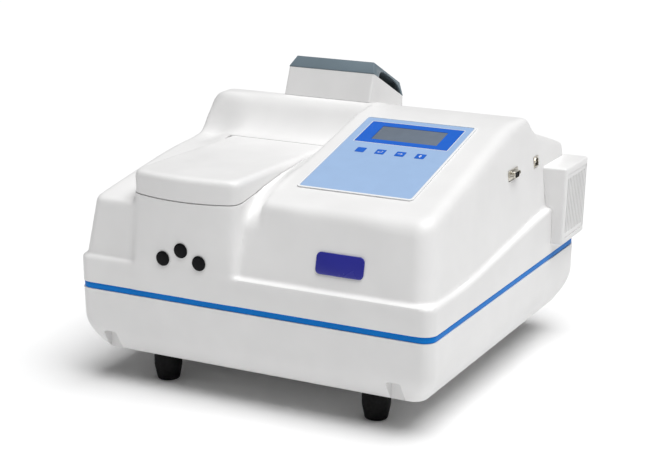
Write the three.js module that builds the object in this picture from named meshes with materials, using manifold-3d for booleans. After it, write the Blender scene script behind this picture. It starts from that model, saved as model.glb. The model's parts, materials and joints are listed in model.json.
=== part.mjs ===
// A bench-top fluorescence spectrophotometer, as an assembly of separate pieces.
// Millimetres. X runs to the right, -Y points at the user, Z is up.
// Every piece is drawn in the body frame, whose X and Y zero lie in the middle of the body; the last
// lines move the whole assembly so that its origin is the bottom centre of its box.

import * as THREE from 'three';
import { mergeVertices } from 'three/addons/utils/BufferGeometryUtils.js';
import Module from 'manifold-3d';

const wasm = await Module();
wasm.setup();

// ---------------------------------------------------------------- driving dimensions

const GAP = 0.3; // air between two pieces that rest on each other
const WALL = 3; // moulded wall
const TOP_WALL = 4; // moulded wall measured straight down under a sloping top

const HALF_W = 240; // body, half of its width
const HALF_D = 238.5; // body, half of its depth
const CORNER_R = 16;

const TRAY_BOTTOM_Z = 44;
const TRAY_TAPER_Z = 76; // the tray's sides tuck in below this height
const TRIM_LOW_Z = 126.3;
const TRIM_HIGH_Z = 134.1;
const COVER_LOW_Z = TRIM_HIGH_Z + GAP;
const LEDGE_Z = 168; // top of the cover's skirt at the front
const LEDGE_REAR_Z = 199; // and at the rear
const PLATEAU_Z = 321.5;

const PANEL_LEFT_X = 4; // left wall of the raised control section
const PANEL_Z0 = 309.6; // height of the control panel's plane at y = 0
const PANEL_SLOPE = 0.251;
const PANEL_TILT = Math.atan(PANEL_SLOPE);

const BLOCK_LEFT_X = -163; // sample compartment block
const BLOCK_RIGHT_X = -15;
const BLOCK_FRONT_Y = -238.5;
const BLOCK_BOW = 11; // how far the front bows out at the lid's height
const DECK_SLOPE = 0.144; // the block's top, under the lid
const DECK_FRONT_Z = 252.2; // at y = -236
const DECK_REAR_Z = 268.8;
const LID_GAP = 1.4;
const LID_TOP_FRONT_Z = 283;
const LID_TOP_REAR_Z = 279;
const LID_HINGE_Y = -1.2;
const LID_HINGE_Z = 274.4;
const LID_NOSE_R = LID_TOP_REAR_Z - LID_HINGE_Z; // the lid's rear edge is round about its hinge
const LID_REAR_Y = LID_HINGE_Y + LID_NOSE_R;
const HINGE_PIN_R = 1.5;
const HINGE_BORE_R = 1.6;
const HINGE_LUG_R = 3.2;
const HINGE_LUGS_X = [-120, -55];
const HINGE_LUG_W = 7;

const BENCH_Z = 118; // underside of the optical bench plate
const BENCH_TOP = BENCH_Z + 10;
const BEAM_Z = 187; // height of the light path

const WELL = { x0: -140, x1: -30, y0: -198, y1: -68, bottom: BENCH_TOP + GAP + WALL }; // sample well
const CUVETTE = { x: -85, y: -133, size: 12.5, bottom: 172, top: 217 };

const PLUGS = [[-114.5, 179.9], [-89, 192.9], [-63.9, 180.4]]; // hole plug centres, (x, z)

const FOOT_X = 146;
const FOOT_Y = 185;
const FOOT_TOP_R = 17.5;
const FOOT_LOW_R = 14.2;
const FOOT_LOW_Z = 4.5;

const KEYPAD = { x0: 27.2, x1: 179.5, s0: -169, s1: 30.5 }; // s runs up the panel's slope
const FRAME = { x0: 41.7, x1: 167, s0: -39.5, s1: 17.3 };
const DISPLAY = { x0: 60.5, x1: 149, s0: -29.5, s1: 7 };
const KEY_SIZE = 12;
const KEY_FIRST_X = 61.3;
const KEY_PITCH = 26.8;
const KEY_S = -61.2;

// The lamp hood's front leans back from its foot to its top, and its top slopes down to the rear.
const HOOD = {
  x0: -127.5, x1: 0.3, footY: 92.5, footZ: 321.5, topY: 103, topZ: 357.3, rearY: 193, slope: 0.502,
};
const HOOD_CAP = { height: 18.5, sideInset: 5.3, bevelY: 9.7, ventY0: 117, ventY1: 188.5, ventHeight: 15 };
const CHIMNEY = { x0: -116, x1: -10, y0: 108, y1: 152 }; // hole in the cover under the hood
const PORT_R = 3; // light ports of the sample chamber
const SIDE_BOX = { x0: 229, x1: 258, y0: 140, y1: 224, z0: 146.5, z1: 249.5, lean: 3.2 };
const LOUVRE = { y0: 147, y1: 220, low: 7, high: 9, slots: 11, slotWidth: 2.6 }; // low, high are margins
const FAN = { y: 183, z: 198, size: 70, depth: 20, x0: 229.5, bore: 32.5 };

const LAMP = { x: -45, y: 112, housing: [-100, 10, 72, 150], top: 255 };
const EXCITATION = { x: -165, y: 20 }; // grating table axes
const EMISSION = { x: 58, y: -30 };
const SHUTTER = { x: -8, y0: 46, reach: 37, r: 17 };

const REAR_PANEL_Y = 233.3; // flat seats in the rear wall
const REAR_PANEL_Z = 226;
const INLET_X = -150;
const SWITCH_X = -98;
const FUSE_X = -60;
const SWITCH_TILT = 11 * Math.PI / 180;

const SOCKET_SEAT_X = 223.6; // flat seats in the right wall
const SERIAL = { y: 37, z: 262.5 };
const USB = { y: 116.5, z: 261 };

// ---------------------------------------------------------------- materials

function material(color, roughness, metalness = 0) {
  return new THREE.MeshStandardMaterial({ color, roughness, metalness });
}

const shellWhite = material(0xeeedec, 0.42);
const trimBlue = material(0x1769bf, 0.4);
const rubberBlack = material(0x161618, 0.7);
const plasticBlack = material(0x1d1e20, 0.45);
const plasticGrey = material(0x74838c, 0.45);
const overlayBlue = material(0xa3bee2, 0.4);
const frameBlue = material(0x1261d2, 0.35);
const displayGrey = material(0x6f7a8b, 0.2);
const bezelWhite = material(0xf4f5f6, 0.4);
const badgeBlue = material(0x2c2e92, 0.3);
const nickel = material(0xc9c3b4, 0.3, 0.9);
const steel = material(0xb4b7ba, 0.35, 0.9);
const aluminium = material(0xa7abb0, 0.45, 0.85);
const blackAnodised = material(0x24262a, 0.55, 0.4);
const glassClear = material(0xdfe9ee, 0.05);
const boardGreen = material(0x1f6b3c, 0.5);
const mirrorSilver = material(0xe4e8ec, 0.06, 1);

// ---------------------------------------------------------------- solids

function solidOf(geometry) {
  const bare = geometry.clone();
  bare.deleteAttribute('normal');
  bare.deleteAttribute('uv');
  const merged = mergeVertices(bare, 1e-4);
  return new wasm.Manifold(new wasm.Mesh({
    numProp: 3,
    vertProperties: Float32Array.from(merged.attributes.position.array),
    triVerts: Uint32Array.from(merged.index.array),
  }));
}

function geometryOf(solid) {
  const mesh = solid.getMesh();
  const geometry = new THREE.BufferGeometry();
  geometry.setAttribute('position', new THREE.BufferAttribute(Float32Array.from(mesh.vertProperties), 3));
  geometry.setIndex(new THREE.BufferAttribute(Uint32Array.from(mesh.triVerts), 1));
  geometry.computeVertexNormals();
  return geometry;
}

function join(...solids) {
  return solids.reduce((whole, solid) => whole.add(solid));
}

function cut(solid, ...tools) {
  return tools.reduce((whole, tool) => whole.subtract(tool), solid);
}

function box(x0, x1, y0, y1, z0, z1) {
  const geometry = new THREE.BoxGeometry(x1 - x0, y1 - y0, z1 - z0);
  return solidOf(geometry.translate((x0 + x1) / 2, (y0 + y1) / 2, (z0 + z1) / 2));
}

// A flat outline given extent along a world axis. Outlines are (x, y) for Z, (y, z) for X, (x, z) for Y.
function extruded(shape, depth, matrix, curveSegments = 2) {
  const geometry = new THREE.ExtrudeGeometry(shape, { depth, bevelEnabled: false, curveSegments });
  return solidOf(geometry.applyMatrix4(matrix));
}

function alongZ(shape, z0, z1, curveSegments) {
  return extruded(shape, z1 - z0, new THREE.Matrix4().makeTranslation(0, 0, z0), curveSegments);
}

function alongX(shape, x0, x1, curveSegments) {
  const matrix = new THREE.Matrix4().makeBasis(
    new THREE.Vector3(0, 1, 0), new THREE.Vector3(0, 0, 1), new THREE.Vector3(1, 0, 0));
  return extruded(shape, x1 - x0, matrix.setPosition(x0, 0, 0), curveSegments);
}

function alongY(shape, y0, y1, curveSegments) {
  const matrix = new THREE.Matrix4().makeBasis(
    new THREE.Vector3(1, 0, 0), new THREE.Vector3(0, 0, 1), new THREE.Vector3(0, -1, 0));
  return extruded(shape, y1 - y0, matrix.setPosition(0, y1, 0), curveSegments);
}

function outline(points) {
  return new THREE.Shape(points.map(([a, b]) => new THREE.Vector2(a, b)));
}

function roundedRect(x0, x1, y0, y1, r) {
  const shape = new THREE.Shape();
  shape.absarc(x1 - r, y0 + r, r, -Math.PI / 2, 0);
  shape.absarc(x1 - r, y1 - r, r, 0, Math.PI / 2);
  shape.absarc(x0 + r, y1 - r, r, Math.PI / 2, Math.PI);
  shape.absarc(x0 + r, y0 + r, r, Math.PI, Math.PI * 1.5);
  return shape;
}

function circle(a, b, r) {
  return new THREE.Shape().absarc(a, b, r, 0, Math.PI * 2);
}

// A disc or rod on a world axis; sides is the number of its flats.
function rod(axis, r, from, to, a, b, sides = 20) {
  const along = { X: alongX, Y: alongY, Z: alongZ }[axis];
  return along(circle(a, b, r), from, to, sides / 2);
}

// A closed skin over rings of equal point count, flat at its first and last ring.
function loft(rings) {
  const count = rings[0].length;
  const positions = rings.flat(2);
  const index = [];
  for (let level = 0; level + 1 < rings.length; level++) {
    for (let i = 0; i < count; i++) {
      const a = level * count + i;
      const b = level * count + (i + 1) % count;
      index.push(a, b, b + count, a, b + count, a + count);
    }
  }
  const last = (rings.length - 1) * count;
  for (let i = 1; i + 1 < count; i++) {
    index.push(0, i + 1, i, last, last + i, last + i + 1);
  }
  const geometry = new THREE.BufferGeometry();
  geometry.setAttribute('position', new THREE.Float32BufferAttribute(positions, 3));
  geometry.setIndex(index);
  return solidOf(geometry);
}

function ring(shape, z, segments = 2) {
  return shape.getPoints(segments).filter(distinct).map((p) => [p.x, p.y, z]);
}

function distinct(point, i, points) {
  const before = points[(i + points.length - 1) % points.length];
  return point.distanceTo(before) > 1e-6;
}

// A solid of revolution about a vertical line, from a profile of (radius, height) pairs.
function turned(profile, x, y, segments = 16) {
  const points = profile.map(([r, z]) => new THREE.Vector2(r, z));
  const geometry = new THREE.LatheGeometry(points, segments);
  return solidOf(geometry.rotateX(Math.PI / 2).translate(x, y, 0));
}

// Places a solid drawn on the flat panel (s up the slope as Y, height above the panel as Z).
function onPanel(solid) {
  const matrix = new THREE.Matrix4().makeRotationX(PANEL_TILT);
  matrix.setPosition(0, 0, PANEL_Z0);
  return solid.transform(matrix.toArray());
}

const assembly = new THREE.Group();

function piece(name, solid, look) {
  const mesh = new THREE.Mesh(geometryOf(solid), look);
  mesh.name = name;
  assembly.add(mesh);
}

// ---------------------------------------------------------------- the cover's form

// Side profiles as (y, z) lines from the front to the rear, closed far below the cover.
const REAR_FALL = [[94, 320.4], [101, 317], [109, 307], [118, 299], [130, 293], [181, 277], [250, 254]];
const SHELF_LINE = [[-260, 200], [-231, 232], [-227.5, 238], [-221, 243], [-192, 251.5], [-128, 259.6],
  [-84, 264], [-20, 267.7], [12, 269], [38, 274.7], [51.7, 288], [61, 306], [68, 315], [80, PLATEAU_Z],
  ...REAR_FALL];
const RAMP_LINE = [[-260, 200], [-100, 240], [LID_REAR_Y + 0.4, 240], [LID_REAR_Y + 0.4, LID_TOP_REAR_Z],
  [26, 281], [42, 287], [54, 297], [63, 308.5], [70, 316], [82, PLATEAU_Z], ...REAR_FALL];
const VALLEY_LINE = [[-260, 210], [-219, 228], [-213.5, 234.5], [-197, 248], [-172, 259], [-140, 265],
  [-68, 273.5], [-42, 279.5], [26, 281], [40, 284]];
const PANEL_LINE = [[-260, 222], [-217.5, 236], [-213.5, 245], [-207, 252.5], [-198, 257.8],
  [-172, PANEL_Z0 - 172 * PANEL_SLOPE], [34, PANEL_Z0 + 34 * PANEL_SLOPE], [58, 321], [70, PLATEAU_Z],
  ...REAR_FALL];

// The cover's outer form for sink = 0; a larger sink gives the form that far inside it.
function coverForm(sink) {
  const drop = sink * TOP_WALL / WALL;
  const under = (line) => {
    const y0 = line[0][0];
    const y1 = line[line.length - 1][0];
    return outline([[y0, 100], [y1, 100], ...line.map(([y, z]) => [y, z - drop]).reverse()]);
  };
  const rear = (rise) => 235.5 - 0.03 * rise - sink;
  const leftRing = (z) => {
    const rise = Math.max(0, z - 160);
    const x0 = -236.5 + 0.19 * rise + sink;
    const x1 = -236.5 + 0.05 * rise + sink;
    const y0 = -232.5 + 0.057 * rise + sink;
    const y1 = rear(rise);
    const r = 10 - sink;
    return ring(outline([[x0 + r, y0], [-60, y0], [-60, y1], [x1 + r, y1], [x1 + r * 0.3, y1 - r * 0.3],
      [x1, y1 - r], [x1, 40], [x0, y0 + r], [x0 + r * 0.3, y0 + r * 0.3]]), z);
  };
  const rightRing = (z) => {
    const rise = z - 160;
    const right = 234.5 - 0.1 * rise - sink;
    return ring(roundedRect(-140, right, -232.5 + 0.243 * rise + sink, rear(rise), 20 - sink), z);
  };
  const drafted = join(loft([leftRing(100), leftRing(160), leftRing(345)]),
    loft([rightRing(100), rightRing(345)]));
  const hump = join(
    alongX(under(SHELF_LINE), -260, 260),
    alongX(under(PANEL_LINE), PANEL_LEFT_X + sink, 260),
    alongX(under(VALLEY_LINE), BLOCK_RIGHT_X - sink, PANEL_LEFT_X + 6),
    alongX(under(RAMP_LINE), BLOCK_LEFT_X + sink, PANEL_LEFT_X + 6),
  ).intersect(drafted);
  const skirtLine = [[-260, LEDGE_Z], [-132, LEDGE_Z], [126, LEDGE_REAR_Z - 3], [260, LEDGE_REAR_Z]];
  const skirtPlan = roundedRect(sink - HALF_W, HALF_W - sink, sink - HALF_D, HALF_D - sink, CORNER_R - sink);
  const skirt = alongZ(skirtPlan, 100, 230).intersect(alongX(under(skirtLine), -260, 260));
  const block = loft([blockRing(140, sink), blockRing(300, sink)]).intersect(deckSolid(-drop));
  return join(hump, skirt, block).subtract(box(-300, 300, -300, 300, 90, sink ? 95 : COVER_LOW_Z));
}

// Plan outline of the compartment block, whose front bows more the higher it is.
function blockRing(z, inset) {
  const bow = BLOCK_BOW * Math.min(1, Math.max(0, (z - 150) / 110));
  return ring(blockPlan(bow, inset), z, 4);
}

function blockPlan(bow, inset, rearY = 12) {
  const x0 = BLOCK_LEFT_X + inset;
  const x1 = BLOCK_RIGHT_X - inset;
  const front = BLOCK_FRONT_Y + inset;
  const r = 12 - inset;
  const middle = (x0 + x1) / 2;
  const shape = new THREE.Shape();
  shape.moveTo(x0, rearY);
  shape.lineTo(x0, front + bow + r);
  shape.quadraticCurveTo(x0, front + bow, x0 + r, front + bow * 0.62);
  shape.quadraticCurveTo(middle, front - bow * 0.45, x1 - r, front + bow * 0.62);
  shape.quadraticCurveTo(x1, front + bow, x1, front + bow + r);
  shape.lineTo(x1, rearY);
  shape.lineTo(x0, rearY);
  return shape;
}

// Everything below the deck that the lid closes on, raised by lift.
function deckSolid(lift) {
  const bendY = -236 + (DECK_REAR_Z - DECK_FRONT_Z) / DECK_SLOPE;
  return alongX(outline([[-260, 100], [30, 100], [30, DECK_REAR_Z + lift], [bendY, DECK_REAR_Z + lift],
    [-236, DECK_FRONT_Z + lift], [-260, DECK_FRONT_Z - 24 * DECK_SLOPE + lift]]), -200, 20);
}

const outerForm = coverForm(0);

// ---------------------------------------------------------------- base, trim and feet

function trayRing(z, inset, r) {
  return ring(roundedRect(inset - HALF_W, HALF_W - inset, inset - HALF_D, HALF_D - inset, r), z, 2);
}

function makeBase() {
  const outer = loft([trayRing(TRAY_BOTTOM_Z, 26, 24), trayRing(51, 13, 22), trayRing(TRAY_TAPER_Z, 1.5, 17),
    trayRing(TRIM_LOW_Z - GAP, 0.5, CORNER_R)]);
  const inner = loft([trayRing(47.5, 28, 22), trayRing(53, 16.5, 20), trayRing(TRAY_TAPER_Z, 4.5, 14),
    trayRing(140, 3.5, 13)]);
  const pocketXs = [-199.5, 190];
  const bosses = pocketXs.map((x) => box(x - 13, x + 13, -234, -212, 46, 78).intersect(outer));
  const pockets = pocketXs.map((x) => alongY(roundedRect(x - 9.5, x + 9.5, 40, 72, 3), -250, -217));
  const posts = corners(200, 200).map(([x, y]) => rod('Z', 8, 46, BENCH_Z - GAP, x, y, 16));
  const screwHoles = corners(FOOT_X, FOOT_Y).map(([x, y]) => rod('Z', 3.4, 40, 60, x, y, 16));
  const tray = join(cut(outer, inner), ...bosses, ...posts);
  piece('base_tray', cut(tray, ...pockets, ...screwHoles), shellWhite);

  const bandPlan = (inset) => roundedRect(inset - HALF_W, HALF_W - inset, inset - HALF_D, HALF_D - inset,
    CORNER_R - inset);
  const band = cut(alongZ(bandPlan(1), TRIM_LOW_Z, TRIM_HIGH_Z), alongZ(bandPlan(8), 120, 140));
  piece('trim_band', band, trimBlue);
}

function corners(x, y) {
  return [[-x, -y], [x, -y], [-x, y], [x, y]];
}

function makeFeet() {
  const names = ['front_left', 'front_right', 'rear_left', 'rear_right'];
  corners(FOOT_X, FOOT_Y).forEach(([x, y], i) => {
    const top = TRAY_BOTTOM_Z - GAP;
    const foot = turned([[0, 14], [6.8, 14], [6.8, FOOT_LOW_Z], [FOOT_LOW_R - 1.6, FOOT_LOW_Z],
      [FOOT_LOW_R, FOOT_LOW_Z + 2.5], [FOOT_TOP_R - 0.4, 20], [FOOT_TOP_R, 24], [FOOT_TOP_R, top],
      [0, top]], x, y);
    piece(`foot_${names[i]}`, cut(foot, rod('Z', 3.4, 5, 50, x, y, 16)), rubberBlack);
    const screw = turned([[0, 8], [5.6, 8], [5.6, 10], [5.0, 13.7], [3, 13.7], [3, 56], [0, 56]], x, y, 10);
    piece(`foot_screw_${names[i]}`, screw, steel);
  });
}

// ---------------------------------------------------------------- upper cover

function panelCut(x0, x1, s0, s1) {
  return onPanel(box(x0, x1, s0, s1, -12, 10));
}

function hingeLugs() {
  return HINGE_LUGS_X.map((x) => {
    const x0 = x - HINGE_LUG_W / 2;
    const x1 = x + HINGE_LUG_W / 2;
    const eye = rod('X', HINGE_LUG_R, x0, x1, LID_HINGE_Y, LID_HINGE_Z, 16);
    return join(eye, box(x0, x1, LID_HINGE_Y - 1.7, LID_HINGE_Y + 1.7, DECK_REAR_Z - 2, LID_HINGE_Z));
  });
}

function fanSpace(x0, x1) {
  const half = FAN.size / 2 + 0.5;
  return box(x0, x1, FAN.y - half, FAN.y + half, FAN.z - half, FAN.z + half);
}

function makeCover() {
  const openings = [
    alongZ(roundedRect(WELL.x0, WELL.x1, WELL.y0, WELL.y1, 8), 200, 330),
    alongZ(roundedRect(CHIMNEY.x0, CHIMNEY.x1, CHIMNEY.y0, CHIMNEY.y1, 6), 200, 340),
    panelCut(DISPLAY.x0 - 2, DISPLAY.x1 + 2, DISPLAY.s0 - 2.5, DISPLAY.s1 + 3),
    panelCut(54, 152, KEY_S - 8, KEY_S + 8),
    fanSpace(200, 250),
    box(SOCKET_SEAT_X, 250, SERIAL.y - 16.5, SERIAL.y + 16.5, SERIAL.z - 7.4, SERIAL.z + 7.4),
    box(200, 250, SERIAL.y - 10.5, SERIAL.y + 10.5, SERIAL.z - 5.6, SERIAL.z + 5.6),
    box(SOCKET_SEAT_X, 250, USB.y - 8.5, USB.y + 8.5, USB.z - 8, USB.z + 8),
    box(200, 250, USB.y - 6.4, USB.y + 6.4, USB.z - 6, USB.z + 6),
    box(INLET_X - 14.5, INLET_X + 14.5, 200, 250, REAR_PANEL_Z - 10.5, REAR_PANEL_Z + 10.5),
    box(SWITCH_X - 14, SWITCH_X + 14, 200, 250, REAR_PANEL_Z - 10.6, REAR_PANEL_Z + 10.6),
    rod('Y', 6.5, 200, 250, FUSE_X, REAR_PANEL_Z),
    box(INLET_X - 26, FUSE_X + 12, REAR_PANEL_Y - 0.3, 250, REAR_PANEL_Z - 16, REAR_PANEL_Z + 16),
    rod('X', HINGE_PIN_R + GAP, -150, -25, LID_HINGE_Y, LID_HINGE_Z, 16),
    ...PLUGS.map(([x, z]) => rod('Y', 8.3, -250, -225, x, z, 20)),
  ];
  const shell = cut(outerForm, coverForm(WALL));
  piece('upper_cover', cut(join(shell, ...hingeLugs()), ...openings), shellWhite);
}

function makePlugsAndBadge() {
  ['left', 'middle', 'right'].forEach((side, i) => {
    const [x, z] = PLUGS[i];
    const head = rod('Y', 9.2, -240.7, -238.9, x, z, 24);
    const shank = rod('Y', 7.9, -240, -229, x, z, 20);
    piece(`hole_plug_${side}`, join(head, shank), plasticBlack);
  });
  const badge = alongY(roundedRect(-31, 31, -13, 13, 6), -1.6, 0, 6);
  const lean = new THREE.Matrix4().makeRotationX(-Math.atan(0.243));
  lean.setPosition(117, -232.5 + 0.243 * 39 - 0.35, 199);
  piece('nameplate', badge.transform(lean.toArray()), badgeBlue);
}

// ---------------------------------------------------------------- sample compartment and lid

function lidPlan(z, inset, rearY) {
  const bow = BLOCK_BOW * (z - 140) / 160;
  return ring(blockPlan(bow, inset, rearY), z, 4);
}

function makeLid() {
  const bendY = -236 + (DECK_REAR_Z - DECK_FRONT_Z) / DECK_SLOPE;
  const floorRear = DECK_REAR_Z + LID_GAP;
  const side = outline([[-260, DECK_FRONT_Z + LID_GAP - 24 * DECK_SLOPE], [bendY, floorRear],
    [LID_HINGE_Y, floorRear], [LID_HINGE_Y, LID_TOP_REAR_Z], [-120, 282], [-260, LID_TOP_FRONT_Z]]);
  const plan = loft([lidPlan(240, 1, LID_HINGE_Y), lidPlan(300, 1, LID_HINGE_Y)]);
  const slab = plan.intersect(alongX(side, -180, 0));
  const nose = rod('X', LID_NOSE_R, BLOCK_LEFT_X + 1, BLOCK_RIGHT_X - 1, LID_HINGE_Y, LID_HINGE_Z, 20);
  const hollow = alongX(outline([[WELL.y0, 230], [WELL.y1, 230], [WELL.y1, 274], [WELL.y0, 278]]),
    WELL.x0, WELL.x1);
  const lugSlots = HINGE_LUGS_X.map((x) => {
    const x0 = x - HINGE_LUG_W / 2 - 0.5;
    const x1 = x + HINGE_LUG_W / 2 + 0.5;
    return join(
      rod('X', HINGE_LUG_R + 0.3, x0, x1, LID_HINGE_Y, LID_HINGE_Z, 16),
      box(x0, x1, LID_HINGE_Y - 3, LID_HINGE_Y + 8, LID_HINGE_Z - 8, LID_HINGE_Z),
      box(x0, x1, LID_HINGE_Y, LID_HINGE_Y + 8, LID_HINGE_Z - 8, LID_HINGE_Z + 2.6),
    );
  });
  const bore = rod('X', HINGE_BORE_R, -141, -34, LID_HINGE_Y, LID_HINGE_Z, 16);
  piece('sample_lid', cut(join(slab, nose), hollow, bore, ...lugSlots), shellWhite);
  piece('lid_hinge_pin', rod('X', HINGE_PIN_R, -140, -35, LID_HINGE_Y, LID_HINGE_Z, 16), steel);

  const sealPlan = alongZ(roundedRect(WELL.x0 - 9, WELL.x1 + 9, WELL.y0 - 9, WELL.y1 + 9, 10), 240, 300);
  const sealHole = alongZ(roundedRect(WELL.x0 - 3, WELL.x1 + 3, WELL.y0 - 3, WELL.y1 + 3, 6), 230, 310);
  const sealLayer = cut(deckSolid(LID_GAP - GAP), deckSolid(GAP));
  piece('lid_seal', cut(sealPlan, sealHole).intersect(sealLayer), rubberBlack);
}

function makeCompartment() {
  const { x0, x1, y0, y1, bottom } = WELL;
  const outer = alongZ(roundedRect(x0 - WALL, x1 + WALL, y0 - WALL, y1 + WALL, 10), bottom - WALL, 290);
  const inner = alongZ(roundedRect(x0, x1, y0, y1, 8), bottom, 300);
  const ports = join(
    rod('Y', PORT_R, y1 - 10, y1 + 10, CUVETTE.x, BEAM_Z, 16),
    rod('X', PORT_R, x1 - 10, x1 + 10, CUVETTE.y, BEAM_Z, 16),
  );
  const ceiling = deckSolid(-(TOP_WALL + GAP));
  piece('sample_chamber', cut(outer.intersect(ceiling), inner, ports), blackAnodised);

  const half = CUVETTE.size / 2;
  const { x, y } = CUVETTE;
  const base = bottom + GAP;
  const foot = box(x - 30, x + 30, y - 25, y + 25, base, base + 5);
  const post = box(x - 15, x + 15, y - 15, y + 15, base, 206);
  const room = half + GAP;
  const pocket = box(x - room, x + room, y - room, y + room, CUVETTE.bottom - GAP, 240);
  const acrossX = rod('X', 5, x - 20, x + 20, y, BEAM_Z, 16);
  const acrossY = rod('Y', 5, y - 20, y + 20, x, BEAM_Z, 16);
  piece('cuvette_holder', cut(join(foot, post), pocket, acrossX, acrossY), blackAnodised);

  const glass = box(x - half, x + half, y - half, y + half, CUVETTE.bottom, CUVETTE.top);
  const inside = box(x - 5, x + 5, y - 5, y + 5, CUVETTE.bottom + 1.5, 240);
  piece('cuvette', cut(glass, inside), glassClear);
}

// ---------------------------------------------------------------- control panel

function keyXs() {
  return [0, 1, 2, 3].map((i) => KEY_FIRST_X + i * KEY_PITCH);
}

function panelPlate(area, inset, h0, h1, r) {
  return alongZ(roundedRect(area.x0 + inset, area.x1 - inset, area.s0 + inset, area.s1 - inset, r), h0, h1);
}

function makeControlPanel() {
  const bezel = cut(panelPlate(KEYPAD, 0, GAP, 1.6, 5.5), panelPlate(KEYPAD, 3, -5, 5, 3.4));
  piece('keypad_bezel', onPanel(bezel), bezelWhite);

  const keyHoles = keyXs().map((x) => box(x - 6.3, x + 6.3, KEY_S - 6.3, KEY_S + 6.3, -5, 5));
  const frameHole = panelPlate(FRAME, -GAP, -5, 5, 1);
  const overlay = cut(panelPlate(KEYPAD, 3 + GAP, GAP, 1.2, 3.1), frameHole, ...keyHoles);
  piece('keypad_overlay', onPanel(overlay), overlayBlue);

  const frame = cut(panelPlate(FRAME, 0, GAP, 1.3, 1), panelPlate(DISPLAY, -GAP, -5, 5, 0.8));
  piece('display_frame', onPanel(frame), frameBlue);
  piece('display_window', onPanel(panelPlate(DISPLAY, 0, -3.6, 1, 0.8)), displayGrey);

  keyXs().forEach((x, i) => {
    const half = KEY_SIZE / 2;
    const cap = box(x - half, x + half, KEY_S - half, KEY_S + half, 0.4, 1.5);
    const stem = box(x - 2.5, x + 2.5, KEY_S - 2.5, KEY_S + 2.5, -3.8, 1);
    piece(`key_${i + 1}`, onPanel(join(cap, stem)), frameBlue);
  });
  const board = box(44, 162, -88, 14, -6.4, -4.8);
  const displayModule = box(56, 155, -42, 12, -13, -6);
  piece('keypad_board', onPanel(join(board, displayModule)), boardGreen);
}

// ---------------------------------------------------------------- lamp hood on the top

// Height of the walls' sloping top edge.
function hoodEdgeZ(y) {
  return HOOD.topZ - HOOD.slope * (y - HOOD.topY);
}

function makeHood() {
  const { x0, x1, footY, footZ, topY, topZ, rearY } = HOOD;
  const lean = (topY - footY) / (topZ - footZ);
  const low = 262;
  const frontLow = footY - lean * (footZ - low);
  const side = outline([[frontLow, low], [rearY, low], [rearY, hoodEdgeZ(rearY)], [topY, topZ]]);
  const walls = alongX(side, x0, x1);
  const high = 420;
  const room = alongX(outline([[frontLow + WALL, low - 5], [rearY - WALL, low - 5], [rearY - WALL, high],
    [topY + WALL + lean * (high - topZ), high]]), x0 + WALL, x1 - WALL);
  const coverBelow = join(outerForm.translate(0, 0, 0.35), outerForm.translate(0, 0.35, 0));
  piece('lamp_hood', cut(walls, room, coverBelow), shellWhite);

  const hollow = capForm(WALL).subtract(box(-300, 300, 0, 250, 200, 250));
  piece('hood_cap', cut(capForm(0), hollow, capVent()), plasticGrey);
}

// The cap's outer form for sink = 0; a larger sink gives the form that far inside it, open below.
function capForm(sink) {
  const { x0, x1, topY, rearY, slope } = HOOD;
  const { height, sideInset, bevelY } = HOOD_CAP;
  const lift = GAP - (sink ? 8 : 0);
  const under = (y) => hoodEdgeZ(y) + lift;
  const over = (y) => hoodEdgeZ(y) + GAP + height - sink * Math.hypot(1, slope);
  const front = topY + sink * 1.2;
  const rear = rearY - sink;
  const lean = sideInset / height;
  const section = (y, top) => {
    const rise = top - under(y);
    const shift = lean * (under(y) - hoodEdgeZ(y) - GAP);
    return [[x0 + sink + shift, y, under(y)], [x0 + sink + shift + lean * rise, y, top],
      [x1 - sink - shift - lean * rise, y, top], [x1 - sink - shift, y, under(y)]];
  };
  const lip = hoodEdgeZ(front) + GAP + 0.6;
  const ridge = front + bevelY;
  return loft([section(front, lip), section(ridge, over(ridge)), section(rear, over(rear))]);
}

// A long rounded opening in each side of the cap, along its lower edge.
function capVent() {
  const { ventY0, ventY1, ventHeight } = HOOD_CAP;
  const shape = new THREE.Shape();
  const at = (y, h) => [y, hoodEdgeZ(y) + h];
  shape.moveTo(...at(ventY0, -1));
  shape.lineTo(...at(ventY0, 0.5));
  shape.quadraticCurveTo(...at(ventY0 + 10, ventHeight), ...at(ventY0 + 30, ventHeight));
  shape.lineTo(...at(ventY1 - 24, ventHeight));
  shape.quadraticCurveTo(...at(ventY1 - 1, ventHeight), ...at(ventY1, 0.5));
  shape.lineTo(...at(ventY1, -1));
  return alongX(shape, HOOD.x0 - 10, HOOD.x1 + 10, 4);
}

// ---------------------------------------------------------------- fan housing on the right side

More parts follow.
